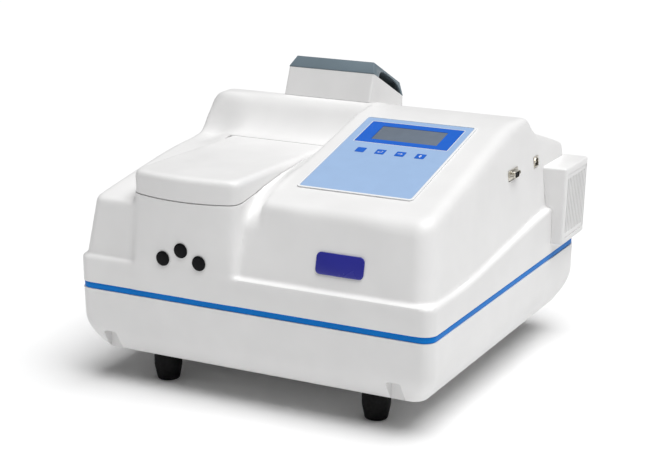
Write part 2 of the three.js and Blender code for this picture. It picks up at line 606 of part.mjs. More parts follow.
function makeFanHousing() {
  const { x0, x1, y0, y1, z0, z1, lean } = SIDE_BOX;
  const height = z1 - z0;
  const onFace = (solid) => solid.transform(
    new THREE.Matrix4().makeRotationY(Math.atan2(lean, height)).setPosition(x1, 0, z1).toArray());
  const louvreField = (gap, h0, h1) => box(h0, h1, LOUVRE.y0 + gap, LOUVRE.y1 - gap,
    LOUVRE.low - height + gap, -LOUVRE.high - gap);
  const skin = (inset) => alongY(outline([[x0 - 12, z0 + inset], [x1 - lean - inset, z0 + inset],
    [x1 - inset, z1 - inset], [x0 - 12, z1 - inset]]), y0 + inset, y1 - inset);
  const coverBeside = join(outerForm.translate(0.35, 0, 0), outerForm.translate(0, 0, 0.35));
  const openBack = box(150, x0 - 8, 0, 300, 0, 300);
  const hollow = cut(skin(0), skin(WALL), openBack, coverBeside);
  const field = onFace(louvreField(0, -10, 10));
  piece('fan_housing', cut(hollow, field, fanSpace(200, 240)), shellWhite);

  const pitch = (LOUVRE.y1 - LOUVRE.y0) / (LOUVRE.slots + 1);
  const slots = [];
  for (let i = 1; i <= LOUVRE.slots; i++) {
    const y = LOUVRE.y0 + i * pitch;
    const half = LOUVRE.slotWidth / 2;
    slots.push(box(-6, 2, y - half, y + half, LOUVRE.low - height + 6, -LOUVRE.high - 6));
  }
  piece('louvre_panel', onFace(cut(louvreField(GAP, -3, -0.5), ...slots)), shellWhite);

  const { y, z, size, depth, bore } = FAN;
  const x = FAN.x0;
  const half = size / 2;
  const body = cut(alongX(roundedRect(y - half, y + half, z - half, z + half, 5), x, x + depth, 2),
    rod('X', bore, x - 5, x + depth + 5, y, z, 36));
  const struts = [0, 120, 240].map((angle) => {
    const bar = box(x, x + 2.5, y, y + bore + 1.5, z - 2, z + 2);
    return bar.translate(0, -y, -z).rotate(angle, 0, 0).translate(0, y, z);
  });
  const stator = rod('X', 13, x, x + 3, y, z, 24);
  const spindle = rod('X', 2, x + 2, x + 14, y, z, 16);
  piece('fan_frame', join(body, ...struts, stator, spindle), plasticBlack);

  const hub = cut(rod('X', 13.5, x + 4, x + 17, y, z, 24), rod('X', 2.15, x, x + 14.6, y, z, 16));
  const blades = [0, 1, 2, 3, 4, 5, 6].map((i) => box(-6.5, 6.5, 11, bore, -0.8, 0.8)
    .rotate(0, 35, 0).rotate(i * 360 / 7, 0, 0).translate(x + 10.5, y, z));
  const sweep = rod('X', bore - 1, x + 4.2, x + 17, y, z, 28);
  piece('fan_rotor', join(hub, join(...blades).intersect(sweep).subtract(rod('X', 10, x, x + 20, y, z))),
    plasticBlack);
}

// ---------------------------------------------------------------- sockets and the rear power panel

function makeSideSockets() {
  const seat = SOCKET_SEAT_X + GAP;
  const { y, z } = SERIAL;
  const dee = (inset, x0, x1) => {
    const wide = 8.4 - inset;
    const half = 4.2 - inset;
    return alongX(outline([[y - wide, z + half], [y - wide + 1, z - half], [y + wide - 1, z - half],
      [y + wide, z + half]]), x0, x1);
  };
  const flange = alongX(roundedRect(y - 15.7, y + 15.7, z - 6.8, z + 6.8, 1.5), seat, seat + 1, 2);
  const jacks = [-12.5, 12.5].map((dy) => rod('X', 2.7, seat, seat + 5.5, y + dy, z, 6));
  const shell = cut(join(flange, dee(0, seat, seat + 6.5), ...jacks), dee(0.8, 200, 240));
  piece('serial_socket', shell, nickel);
  const core = join(dee(1.1, 215, seat + 5), box(207, seat - 1.5, y - 9.8, y + 9.8, z - 5.2, z + 5.2));
  piece('serial_socket_core', core, plasticBlack);

  const u = USB;
  const can = cut(box(208, seat + 2, u.y - 6, u.y + 6, u.z - 5.6, u.z + 5.6),
    box(212, 240, u.y - 4.3, u.y + 4.3, u.z - 4, u.z + 4));
  const lip = cut(box(seat, seat + 1, u.y - 8, u.y + 8, u.z - 7.5, u.z + 7.5),
    box(200, 240, u.y - 5, u.y + 5, u.z - 5, u.z + 5));
  const tongue = box(210, seat + 0.5, u.y - 2.8, u.y + 2.8, u.z - 1.6, u.z + 1.6);
  piece('usb_socket', join(can, lip, tongue), nickel);
}

function makePowerPanel() {
  const z = REAR_PANEL_Z;
  const y = REAR_PANEL_Y;
  const inletFlange = alongY(roundedRect(INLET_X - 25, INLET_X + 25, z - 14, z + 14, 3), y, y + 2.5, 2);
  const inletBody = box(INLET_X - 14, INLET_X + 14, y - 20, y + 1, z - 10, z + 10);
  const inletCavity = box(INLET_X - 12.2, INLET_X + 12.2, y - 16, y + 10, z - 8.2, z + 8.2);
  const pins = [[-7, -2], [7, -2], [0, 2.5]].map(([dx, dz]) => box(INLET_X + dx - 1, INLET_X + dx + 1,
    y - 18, y - 2, z + dz - 2, z + dz + 2));
  piece('mains_inlet', join(cut(join(inletFlange, inletBody), inletCavity), ...pins), plasticBlack);

  const switchFlange = alongY(roundedRect(SWITCH_X - 16, SWITCH_X + 16, z - 12.5, z + 12.5, 2), y, y + 2, 2);
  const switchBody = box(SWITCH_X - 13.5, SWITCH_X + 13.5, y - 18, y + 1, z - 10.2, z + 10.2);
  const switchCavity = box(SWITCH_X - 12, SWITCH_X + 12, y - 14, y + 10, z - 8.8, z + 8.8);
  piece('power_switch_frame', cut(join(switchFlange, switchBody), switchCavity), plasticBlack);

  const pivotY = y - 4;
  const rockerSide = new THREE.Shape();
  rockerSide.moveTo(0, 8.2);
  rockerSide.absarc(0, 0, 8.2, Math.PI / 2, Math.PI * 1.5);
  rockerSide.lineTo(7, -7.2);
  rockerSide.lineTo(4.6, 0);
  rockerSide.lineTo(7, 7.2);
  const rocker = alongX(rockerSide, SWITCH_X - 11.6, SWITCH_X + 11.6, 8);
  const tipped = rocker.rotate(-SWITCH_TILT * 180 / Math.PI, 0, 0).translate(0, pivotY, z);
  piece('power_rocker', tipped, plasticBlack);

  const fuse = join(rod('Y', 8, y, y + 4.2, FUSE_X, z, 24), rod('Y', 6.1, y - 26, y + 1, FUSE_X, z, 20));
  piece('fuse_holder', cut(fuse, box(FUSE_X - 5, FUSE_X + 5, y + 3, y + 9, z - 0.8, z + 0.8)), plasticBlack);
}

// ---------------------------------------------------------------- optics inside

function makeBench() {
  const plate = alongZ(roundedRect(-222, 222, -220, 220, 12), BENCH_Z, BENCH_TOP);
  const holes = [EXCITATION, EMISSION].map(({ x, y }) => rod('Z', 4.5, 100, 150, x, y, 16));
  piece('optical_bench', cut(plate, ...holes), aluminium);
}

function makeLamp() {
  const [x0, x1, y0, y1] = LAMP.housing;
  const base = BENCH_TOP + GAP;
  const wall = 2.5;
  const inside = box(x0 + wall, x1 - wall, y0 + wall, y1 - wall, base + 3, 300);
  const shell = cut(box(x0, x1, y0, y1, base, LAMP.top), inside);
  piece('lamp_housing', cut(shell, rod('Y', 15, y0 - 5, y0 + 6, LAMP.x, BEAM_Z)), aluminium);
  const foot = base + 3 + GAP;
  const bulb = turned([[0, foot], [16, foot], [16, foot + 6], [7, foot + 8], [7, foot + 24], [4, foot + 26],
    [4, 172], [9, 178], [11, BEAM_Z], [9, 196], [4, 202], [4, 222], [6, 224], [6, 240], [0, 240]],
  LAMP.x, LAMP.y, 14);
  piece('xenon_lamp', bulb, glassClear);
  const lens = turned([[0, 0], [8, 1], [14.6, 4], [14.6, 6], [8, 9], [0, 10]], 0, 0);
  const upright = new THREE.Matrix4().makeRotationX(Math.PI / 2).setPosition(LAMP.x, y0 + 7, BEAM_Z);
  piece('condenser_lens', lens.transform(upright.toArray()), glassClear);
}

function makeShutter() {
  const { x, y0, reach, r } = SHUTTER;
  const arm = box(x - reach, x, y0, y0 + 1.6, BEAM_Z - 4, BEAM_Z + 4);
  const disc = rod('Y', r, y0, y0 + 1.6, x - reach, BEAM_Z, 24);
  const eye = rod('Y', 6, y0, y0 + 1.6, x, BEAM_Z, 20);
  const shaft = rod('Y', 2, y0 + 1, y0 + 14, x, BEAM_Z, 16);
  piece('shutter_flag', join(arm, disc, eye, shaft), blackAnodised);
  const body = rod('Y', 12, y0 + 2.2, y0 + 21, x, BEAM_Z, 24);
  const stand = box(x - 6, x + 6, y0 + 4, y0 + 16, BENCH_TOP + GAP, BEAM_Z - 6);
  piece('shutter_solenoid', cut(join(body, stand), rod('Y', 2.15, y0, y0 + 15, x, BEAM_Z, 16)), steel);
}

function makeMonochromator(name, { x, y }, angle, mirrorX, mirrorY) {
  const motorTop = BENCH_Z - GAP;
  const motor = cut(alongZ(roundedRect(x - 21, x + 21, y - 21, y + 21, 4), motorTop - 34, motorTop, 2),
    rod('Z', 2.65, motorTop - 20, 130, x, y, 16));
  piece(`${name}_motor`, motor, plasticBlack);
  const table = turned([[0, 102], [2.5, 102], [2.5, 129], [11, 129], [11, 166], [22, 167], [22, 171.5],
    [0, 171.5]], x, y);
  piece(`${name}_table`, table, aluminium);
  const grating = box(-16, 16, -4, 4, 171.8, 203).rotate(0, 0, angle).translate(x, y, 0);
  piece(`${name}_grating`, grating, mirrorSilver);
  const disc = rod('Y', 20, -4, 4, 0, BEAM_Z, 28);
  const stand = box(-8, 8, -5, 5, BENCH_TOP + GAP, BEAM_Z - 16);
  const mirror = join(disc, stand, box(-16, 16, -12, 12, BENCH_TOP + GAP, 134));
  piece(`${name}_mirror`, mirror.rotate(0, 0, angle / 2).translate(mirrorX, mirrorY, 0), mirrorSilver);
}

function makeDetector() {
  const x = 118;
  const y = -150;
  const can = rod('Z', 21, BENCH_TOP + 5, 222, x, y, 28);
  const foot = box(x - 28, x + 28, y - 28, y + 28, BENCH_TOP + GAP, BENCH_TOP + 6);
  piece('detector_housing', cut(join(can, foot), rod('Y', 6, y, y + 30, x, BEAM_Z, 16)), blackAnodised);
}

function makeElectronics() {
  piece('main_board', box(203, 205, 8, 131, 192, 284), boardGreen);
  const supply = cut(box(112, 198, 60, 214, BENCH_TOP + GAP, 188), box(114, 196, 62, 212, BENCH_TOP + 3, 186),
    box(120, 190, 205, 220, 150, 180));
  piece('power_supply', supply, steel);
}

// ---------------------------------------------------------------- the whole assembly

makeBase();
makeFeet();
makeCover();
makePlugsAndBadge();
makeLid();
makeCompartment();
makeControlPanel();
makeHood();
makeFanHousing();
makeSideSockets();
makePowerPanel();
makeBench();
makeLamp();
makeShutter();
makeMonochromator('excitation', EXCITATION, 35, -165, -40);
makeMonochromator('emission', EMISSION, -35, 58, -180);
makeDetector();
makeElectronics();

const bounds = new THREE.Box3().setFromObject(assembly, true);
const centre = bounds.getCenter(new THREE.Vector3());
assembly.position.set(-centre.x, -centre.y, -bounds.min.z);
assembly.updateMatrixWorld(true);

export default assembly;
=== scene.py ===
"""A bench-top fluorescence spectrophotometer: the looks of every piece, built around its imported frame.

Shapes are worked out in millimetres in the body frame, whose X and Y zero lie in the middle of the
base tray and whose Z zero is FOOT_LOW under the feet. to_row() takes them to the row frame, in metres.
"""

import json
import math
from contextlib import contextmanager

import bmesh
import bpy
import numpy as np
from mathutils import Matrix, Vector


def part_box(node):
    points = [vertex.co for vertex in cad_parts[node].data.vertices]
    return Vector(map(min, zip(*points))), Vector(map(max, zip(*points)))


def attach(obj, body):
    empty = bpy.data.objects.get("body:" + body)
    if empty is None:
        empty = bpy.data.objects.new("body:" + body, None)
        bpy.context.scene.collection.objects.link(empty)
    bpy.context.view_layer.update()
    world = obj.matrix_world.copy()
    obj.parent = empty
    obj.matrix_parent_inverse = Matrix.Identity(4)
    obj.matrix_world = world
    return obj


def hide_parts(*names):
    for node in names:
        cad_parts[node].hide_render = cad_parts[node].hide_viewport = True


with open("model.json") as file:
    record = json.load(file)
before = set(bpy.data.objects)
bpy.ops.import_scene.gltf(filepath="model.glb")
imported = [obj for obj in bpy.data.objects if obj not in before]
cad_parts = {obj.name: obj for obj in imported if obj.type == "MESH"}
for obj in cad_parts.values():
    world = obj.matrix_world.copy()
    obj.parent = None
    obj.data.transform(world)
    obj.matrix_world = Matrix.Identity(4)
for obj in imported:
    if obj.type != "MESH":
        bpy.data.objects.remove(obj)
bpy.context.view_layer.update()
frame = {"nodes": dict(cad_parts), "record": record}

MM = 0.001
TRAY_BOTTOM = 44.0
FOOT_LOW = 4.5
tray_low, tray_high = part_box("base_tray")
body_centre = (tray_low + tray_high) / 2
body_centre.z = tray_low.z - TRAY_BOTTOM * MM

# Spacing of the grids that the moulded shells are drawn from, mm.
CELL = 3.4
LID_CELL = 2.2

# Driving dimensions, mm.
HALF_W = 240.0
HALF_D = 238.5
PLAN_CORNER = 16.0
TRAY_RIM = 126.0
TRAY_TAPER = 76.0
TRIM_LOW = 126.3
TRIM_HIGH = 134.1
COVER_LOW = 134.4
LEDGE = 168.0
LEDGE_REAR = 198.0
PLATEAU = 321.5
WALL = 3.0
# The walls above the ledge: the height they lean in from, where they stand at that height, and how far
# each leans in per millimetre above it.
DRAFT_Z = 160.0
UPPER_LEFT, UPPER_RIGHT = -236.5, HALF_W - 5.5
UPPER_FRONT, UPPER_REAR = -232.5, 235.5
SIDE_DRAFT = 0.1
REAR_DRAFT = 0.03
FRONT_DRAFT = 0.243
LEFT_DRAFT = 0.05
LEFT_DRAFT_FRONT = 0.20
SHOULDER_DRAFT = 0.057
# The control section's left edge, the compartment's block, its deck and its lid.
PANEL_LEFT = 4.0
BLOCK_LEFT = -163.0
BLOCK_RIGHT = -15.0
BLOCK_FRONT = -238.5
BLOCK_BOW = 11.0
DECK_REAR = 268.8
AHEAD = -262.0
LID_GAP = 1.4
LID_TOP_FRONT = 283.0
LID_TOP_REAR = 279.0
HINGE_Y = -1.2
HINGE_Z = 274.4
LID_REAR = HINGE_Y + LID_TOP_REAR - HINGE_Z

# Straight runs of the cover's profile: a place along y, the height there and the slope.
PLATEAU_DROP = (101.0, 318.5, -1.32)
BACK_SLOPE = (127.0, 294.5, -0.325)
SHELF_CLIMB = (58.0, 301.5, 1.95)
RAMP_CLIMB = (62.0, 307.0, 1.25)
VALLEY_LEFT = (-214.0, 234.0, 0.74)
VALLEY_RIGHT = (-214.0, 236.0, 0.85)
VALLEY_LIP = (-70.0, 273.0, 0.26)
DECK = (-236.0, 252.2, 0.144)
DECK_BEND = DECK[0] + (DECK_REAR - DECK[1]) / DECK[2]
PANEL = (0.0, 309.6, 0.251)

# Areas are x0, x1, y0, y1; on the control panel the last two run up its slope.
WELL = (-140.0, -30.0, -198.0, -68.0)


# ---------------------------------------------------------------- meshes

def to_row(points):
    return np.asarray(points, float) * MM + np.array(body_centre)


def link(name, data):
    piece = bpy.data.objects.new(name, data)
    bpy.context.scene.collection.objects.link(piece)
    return piece


def mesh_piece(name, points, faces, smooth=True):
    mesh = bpy.data.meshes.new(name)
    mesh.from_pydata(to_row(points).tolist(), [], [list(map(int, f)) for f in faces])
    mesh.update()
    if smooth:
        mesh.polygons.foreach_set("use_smooth", [True] * len(mesh.polygons))
    return link(name, mesh)


def apply_modifiers(piece):
    graph = bpy.context.evaluated_depsgraph_get()
    mesh = bpy.data.meshes.new_from_object(piece.evaluated_get(graph))
    old = piece.data
    piece.modifiers.clear()
    piece.data = mesh
    bpy.data.meshes.remove(old)
    return piece


def boolean(piece, tool, operation="DIFFERENCE"):
    """Joins or cuts; a solver that loses the whole piece is followed by the other one."""
    before = piece.data.copy()
    for solver in ("EXACT", "MANIFOLD"):
        cutter = piece.modifiers.new("cut", "BOOLEAN")
        cutter.operation = operation
        cutter.solver = solver
        cutter.object = tool
        apply_modifiers(piece)
        if len(piece.data.polygons):
            bpy.data.objects.remove(tool)
            return piece
        piece.data = before.copy()
    raise RuntimeError(f"{piece.name} was lost when {tool.name} was applied")


def add(piece, tool):
    return boolean(piece, tool, "UNION")


def soften(piece, width, segments=2, angle=50, sharp=50):
    """Rounds the piece's edges and shades it smooth, with hard edges kept over `sharp` degrees."""
    bevel = piece.modifiers.new("bevel", "BEVEL")
    bevel.width = width * MM
    bevel.segments = segments
    bevel.limit_method = "ANGLE"
    bevel.angle_limit = math.radians(angle)
    bevel.harden_normals = False
    apply_modifiers(piece)
    return shade(piece, sharp)


def shade(piece, sharp):
    mesh = piece.data
    mesh.polygons.foreach_set("use_smooth", [True] * len(mesh.polygons))
    mesh.set_sharp_from_angle(angle=math.radians(sharp))
    return piece


@contextmanager
def open_mesh(piece):
    """The piece's mesh for editing; the edits are kept when the block ends."""
    work = bmesh.new()
    work.from_mesh(piece.data)
    yield work
    work.to_mesh(piece.data)
    work.free()


def face_outwards(piece):
    with open_mesh(piece) as work:
        bmesh.ops.remove_doubles(work, verts=work.verts, dist=1e-7)
        bmesh.ops.recalc_face_normals(work, faces=work.faces)
    return piece


def cut_flat(piece, height, side):
    """Removes the mesh on one side of a height (1 above, -1 below), and leaves it open there."""
    with open_mesh(piece) as work:
        everything = list(work.verts) + list(work.edges) + list(work.faces)
        bmesh.ops.bisect_plane(work, geom=everything, plane_co=to_row((0, 0, height)),
                               plane_no=(0, 0, side), clear_outer=True)
    return piece


def move(piece, *steps):
    """Moves a piece that was drawn about the body frame's zero; the last step is applied first."""
    place = Matrix.Translation(body_centre)
    for step in steps:
        place = place @ step
    piece.data.transform(place @ Matrix.Translation(-body_centre))
    return piece


def shift(x, y, z):
    return Matrix.Translation(Vector((x, y, z)) * MM)


def joined(name, pieces):
    """One object from several; their meshes are already in the same frame."""
    work = bmesh.new()
    for piece in pieces:
        work.from_mesh(piece.data)
    mesh = bpy.data.meshes.new(name)
    work.to_mesh(mesh)
    work.free()
    for piece in pieces:
        bpy.data.objects.remove(piece)
    return link(name, mesh)


def bands(levels, count, closed=False):
    """Quads from each ring of `count` points to the next, and from the last to the first if closed."""
    faces = []
    for level in range(levels if closed else levels - 1):
        here, there = level * count, (level + 1) % levels * count
        for i in range(count):
            j = (i + 1) % count
            faces.append([here + i, here + j, there + j, there + i])
    return faces


def prism(name, outline, axis, start, end):
    """A flat outline given extent along an axis: (x, y) outlines for Z, (y, z) for X, (x, z) for Y."""
    count = len(outline)
    order = {"X": (2, 0, 1), "Y": (0, 2, 1), "Z": (0, 1, 2)}[axis]
    rings = [[(a, b, at) for a, b in outline] for at in (start, end)]
    points = np.array(rings[0] + rings[1], float)[:, order]
    faces = bands(2, count) + [list(range(count))[::-1], list(range(count, 2 * count))]
    if axis == "Y":
        faces = [face[::-1] for face in faces]
    return mesh_piece(name, points, faces, smooth=False)


def block(name, x0, x1, y0, y1, z0, z1):
    return prism(name, [(x0, y0), (x1, y0), (x1, y1), (x0, y1)], "Z", z0, z1)


def arc(cx, cy, r, start, end, steps):
    angles = np.radians(np.linspace(start, end, steps + 1))
    return [(cx + r * math.cos(a), cy + r * math.sin(a)) for a in angles]


def bend(start, middle, end, count):
    """Points on the curve that leaves `start` towards `middle` and comes to `end` from it."""
    start, middle, end = np.array(start), np.array(middle), np.array(end)
    return [tuple((1 - t) ** 2 * start + 2 * t * (1 - t) * middle + t * t * end)
            for t in np.linspace(0.0, 1.0, count)]


def round_rect(x0, x1, y0, y1, r, steps=6):
    return (arc(x1 - r, y0 + r, r, -90, 0, steps) + arc(x1 - r, y1 - r, r, 0, 90, steps)
            + arc(x0 + r, y1 - r, r, 90, 180, steps) + arc(x0 + r, y0 + r, r, 180, 270, steps))


def around(cx, cy, half_w, half_h, r, steps=6):
    """A rounded rectangle about a centre."""
    return round_rect(cx - half_w, cx + half_w, cy - half_h, cy + half_h, r, steps)


def turned(name, profile, axis, centre, steps):
    """A solid of revolution about an axis through centre, from (radius, distance along it) pairs."""
    order = {"X": (2, 0, 1), "Y": (1, 2, 0), "Z": (0, 1, 2)}[axis]
    angles = [2 * math.pi * i / steps for i in range(steps)]
    points = [(r * math.cos(a), r * math.sin(a), h) for r, h in profile for a in angles]
    points = np.array(points)[:, order] + np.asarray(centre)
    return face_outwards(mesh_piece(name, points, bands(len(profile), steps)))


def on_panel(piece):
    """Moves a piece drawn flat, with Y up the slope and Z above it, on to the control panel."""
    origin, height, slope = PANEL
    return move(piece, shift(0, origin, height), Matrix.Rotation(math.atan(slope), 4, "X"))


# ---------------------------------------------------------------- smooth solids from distance fields

def smax(a, b, k):
    """The larger of two fields, with the edge between them rounded over a width k."""
    h = np.maximum(k - np.abs(a - b), 0.0) / k
    return np.maximum(a, b) + h * h * k * 0.25


def smin(a, b, k):
    return -smax(-a, -b, k)


def ease(x, start, end):
    t = np.clip((x - start) / (end - start), 0.0, 1.0)
    return t * t * (3 - 2 * t)


def rect_field(x, y, x0, x1, y0, y1, r):
    """Distance to an upright rounded box seen from above."""
    qx = np.abs(x - (x0 + x1) / 2) - (x1 - x0) / 2 + r
    qy = np.abs(y - (y0 + y1) / 2) - (y1 - y0) / 2 + r
    outside = np.hypot(np.maximum(qx, 0.0), np.maximum(qy, 0.0))
    return outside + np.minimum(np.maximum(qx, qy), 0.0) - r


def below(z, height, *where):
    """Distance to the ground under a height function of the given places, corrected for its slope."""
    here = height(*where)
    steep = (height(*where[:-1], where[-1] + 1.0) - height(*where[:-1], where[-1] - 1.0)) / 2
    return (z - here) / np.sqrt(1.0 + steep * steep)


def polygonise(name, field, low, high, cell):
    """The closed surface where field(x, y, z) = 0, as a quad mesh with its points on the surface."""
    axes = [np.arange(a, b + cell, cell) for a, b in zip(low, high)]
    grid = np.meshgrid(*axes, indexing="ij")
    values = field(*grid)
    inside = values < 0
    shape = np.array(values.shape) - 1
    total = np.zeros(tuple(shape) + (3,))
    count = np.zeros(tuple(shape))
    for axis in range(3):
        near = [slice(None)] * 3
        far = [slice(None)] * 3
        near[axis] = slice(0, -1)
        far[axis] = slice(1, None)
        a, b = values[tuple(near)], values[tuple(far)]
        crosses = inside[tuple(near)] != inside[tuple(far)]
        share = np.where(crosses, a / np.where(crosses, a - b, 1.0), 0.0)
        others = [i for i in range(3) if i != axis]
        for da in (0, 1):
            for db in (0, 1):
                part = [slice(None)] * 3
                part[others[0]] = slice(da, da + shape[others[0]])
                part[others[1]] = slice(db, db + shape[others[1]])
                hit = crosses[tuple(part)]
                count += hit
                total[..., axis] += np.where(hit, share[tuple(part)], 0.0)
                total[..., others[0]] += hit * da
                total[..., others[1]] += hit * db
    used = count > 0
    index = -np.ones(used.shape, int)
    index[used] = np.arange(used.sum())
    corner = np.argwhere(used)
    points = (corner + total[used] / count[used][:, None]) * cell + np.array([a[0] for a in axes])
    faces = []
    for axis in range(3):
        u, v = [(1, 2), (2, 0), (0, 1)][axis]
        near = [slice(1, -1)] * 3
        far = [slice(1, -1)] * 3
        near[axis] = slice(0, -1)
        far[axis] = slice(1, None)
        starts = inside[tuple(near)] & ~inside[tuple(far)]
        ends = ~inside[tuple(near)] & inside[tuple(far)]
        for mask, turn in ((starts, 1), (ends, -1)):
            at = np.argwhere(mask)
            at[:, u] += 1
            at[:, v] += 1
            step_u = np.eye(3, dtype=int)[u]
            step_v = np.eye(3, dtype=int)[v]
            ring = [at - step_u - step_v, at - step_v, at, at - step_u]
            quad = np.stack([index[tuple(c.T)] for c in ring], 1)
            faces.append(quad[:, ::turn])
    points = settle(field, points, cell)
    return mesh_piece(name, points, np.concatenate(faces))


def settle(field, points, cell):
    """Moves points along the field's gradient until they lie on its surface."""
    rounds, delta = 5, 0.05
    for _ in range(rounds):
        here = field(*points.T)
        gradient = np.stack([
            (field(*(points + delta * unit).T) - field(*(points - delta * unit).T)) / (2 * delta)
            for unit in np.eye(3)], 1)
        size = np.maximum((gradient ** 2).sum(1), 0.2)
        move = -here[:, None] * gradient / size[:, None]
        points = points + np.clip(move, -cell / 2, cell / 2)
    return points


def thicken(piece, wall):
    shell = piece.modifiers.new("wall", "SOLIDIFY")
    shell.thickness = wall * MM
    shell.offset = -1
    return apply_modifiers(piece)


# ---------------------------------------------------------------- the cover's form

def run(line, y):
    """The height at y of one of the profile's straight runs."""
    at, height, slope = line
    return height + slope * (y - at)


def plateau_fall(y):
    """The plateau and the fall behind it, down to the gentle rear slope."""
    return smin(smax(run(PLATEAU_DROP, y), run(BACK_SLOPE, y), 14.0), PLATEAU, 9.0)


def shelf_height(y):
    """The low shelf beside the compartment and its climb to the plateau."""
    shelf = 268.4 - 0.00048 * np.square(np.minimum(y - 8.0, 0.0)) + 0.1 * np.maximum(y - 8.0, 0.0)
    return smin(smax(shelf, run(SHELF_CLIMB, y), 24.0), plateau_fall(y), 12.0)


def ramp_height(y):
    """The fuller climb behind the lid."""
    foot = LID_TOP_REAR + 0.06 * np.maximum(y - 4.0, 0.0)
    return smin(smax(foot, run(RAMP_CLIMB, y), 22.0), plateau_fall(y), 12.0)


def deck_height(y):
    return np.minimum(run(DECK, y), DECK_REAR)


def valley_height(x, y):
    """The hollow strip between the compartment and the control section, lower towards the compartment."""
    lip = run(VALLEY_LIP, y) + 0.7 * np.maximum(y - 5.0, 0.0)
    near = smin(run(VALLEY_LEFT, y), smax(run(DECK, y) - 1.2, lip, 6.0), 12.0)
    far = smin(run(VALLEY_RIGHT, y), run(PANEL, y) + 0.6, 10.0)
    share = ease(x, BLOCK_RIGHT - 3.0, PANEL_LEFT + 4.0)
    hidden = 16.0 * ease(x, PANEL_LEFT + 2.0, PANEL_LEFT + 20.0)
    return smin(near * (1 - share) + far * share - hidden, ramp_height(y), 8.0)


def low_height(x, y):
    """All of the cover's top but the raised control section."""
    behind = ease(y, -45.0, 8.0) * ease(x, -204.0, -158.0)
    left = shelf_height(y) * (1 - behind) + ramp_height(y) * behind
    beside = ease(x, BLOCK_RIGHT - 6.0, BLOCK_RIGHT)
    return left * (1 - beside) + valley_height(x, y) * beside


def panel_height(y):
    return smin(run(PANEL, y), plateau_fall(y), 7.0)


def upper_plan(x, y, z):
    """The walls above the ledge; the left shoulder's are steeper than the control section's."""
    rise = z - DRAFT_Z
    right = UPPER_RIGHT - SIDE_DRAFT * rise
    left_draft = LEFT_DRAFT_FRONT + (LEFT_DRAFT - LEFT_DRAFT_FRONT) * ease(y, -180.0, 70.0)
    left = UPPER_LEFT + left_draft * np.maximum(rise, 0.0)
    share = ease(x, -110.0, -60.0)
    front = UPPER_FRONT + (SHOULDER_DRAFT + (FRONT_DRAFT - SHOULDER_DRAFT) * share) * rise
    rear = UPPER_REAR - REAR_DRAFT * rise
    return rect_field(x, y, left, right, front, rear, 12.0 + 12.0 * share)


def block_plan(x, y, z, inset=0.0):
    """The compartment block and its lid: upright, with a front that bows out more the higher it is."""
    middle = (BLOCK_LEFT + BLOCK_RIGHT) / 2
    half = (BLOCK_RIGHT - BLOCK_LEFT) / 2 - inset
    bow = BLOCK_BOW * ease(z, 150.0, 262.0)
    across = np.clip((x - middle) / half, -1.2, 1.2)
    front = BLOCK_FRONT + inset + bow * across * across
    return smax(np.abs(x - middle) - half, front - y, 12.0)


def cover_field(x, y, z):
    ledge = smin(LEDGE + smax(0.1105 * (y + 132.0), 0.0, 6.0), LEDGE_REAR, 8.0)
    skirt = rect_field(x, y, -HALF_W, HALF_W, -HALF_D, HALF_D, PLAN_CORNER)
    skirt = smax(skirt, z - ledge, 5.0)
    low = below(z, low_height, x, y)
    left_round = 4.0 + 5.0 * (1 - ease(y, -200.0, -120.0))
    raised = smax(below(z, panel_height, y), (PANEL_LEFT - x) + 0.05 * (z - 240.0), left_round)
    top = smin(low, raised, 5.0)
    crown = 8.0 + 3.0 * ease(x, 20.0, 80.0)
    crown = crown + (5.0 - 9.0 * ease(y, 30.0, 110.0)) * ease(x, 120.0, 200.0)
    crown = crown + 16.0 * ease(-x, 150.0, 200.0) * ease(z, 285.0, 315.0)
    upper = smax(upper_plan(x, y, z), top, crown)
    compartment = smax(block_plan(x, y, z), z - deck_height(y) - 1.5, 0.6)
    compartment = np.maximum(compartment, y - 10.0)
    fillet = 4.0 + 5.0 * ease(x, -60.0, -20.0) * ease(z, 205.0, 240.0)
    body = smin(smin(skirt, upper, 4.0), compartment, fillet)
    return smax(body, 100.0 - z, 2.0)


def lid_field(x, y, z):
    top = LID_TOP_REAR + (LID_TOP_FRONT - LID_TOP_REAR) * ease(-y, -15.0, 240.0)
    slab = smax(block_plan(x, y, z, inset=0.6), z - top, 9.0)
    slab = smax(slab, y - LID_REAR, 2.2)
    return smax(slab, 235.0 - z, 2.0)


def over_deck(lift, x0=-200, x1=20, top=330.0):
    """The space above the deck that the lid closes on, hollowed at the rear for the lid's turning edge."""
    outline = [(AHEAD, run(DECK, AHEAD) + lift), (DECK_BEND, DECK_REAR + lift)]
    outline += arc(HINGE_Y, HINGE_Z, 6.1, -64, 34, 12)
    outline += [(LID_REAR + 0.8, HINGE_Z + 3.6), (LID_REAR + 0.8, top), (AHEAD, top)]
    return prism("over", outline, "X", x0, x1)


def under_deck(lift):
    """The space below a surface that lies `lift` over the deck."""
    outline = [(AHEAD, 200.0), (20.0, 200.0), (20.0, DECK_REAR + lift), (DECK_BEND, DECK_REAR + lift),
               (AHEAD, run(DECK, AHEAD) + lift)]
    return prism("under", outline, "X", -200, 20)


# ---------------------------------------------------------------- the cover

def cylinder(name, axis, centre, r, start, end, steps=48):
    """A closed cylinder along an axis; start and end are measured along it from the frame's zero."""
    at = np.array(centre, float)
    at["XYZ".index(axis)] = 0.0
    return turned(name, [(0, start), (r, start), (r, end), (0, end)], axis, at, steps)


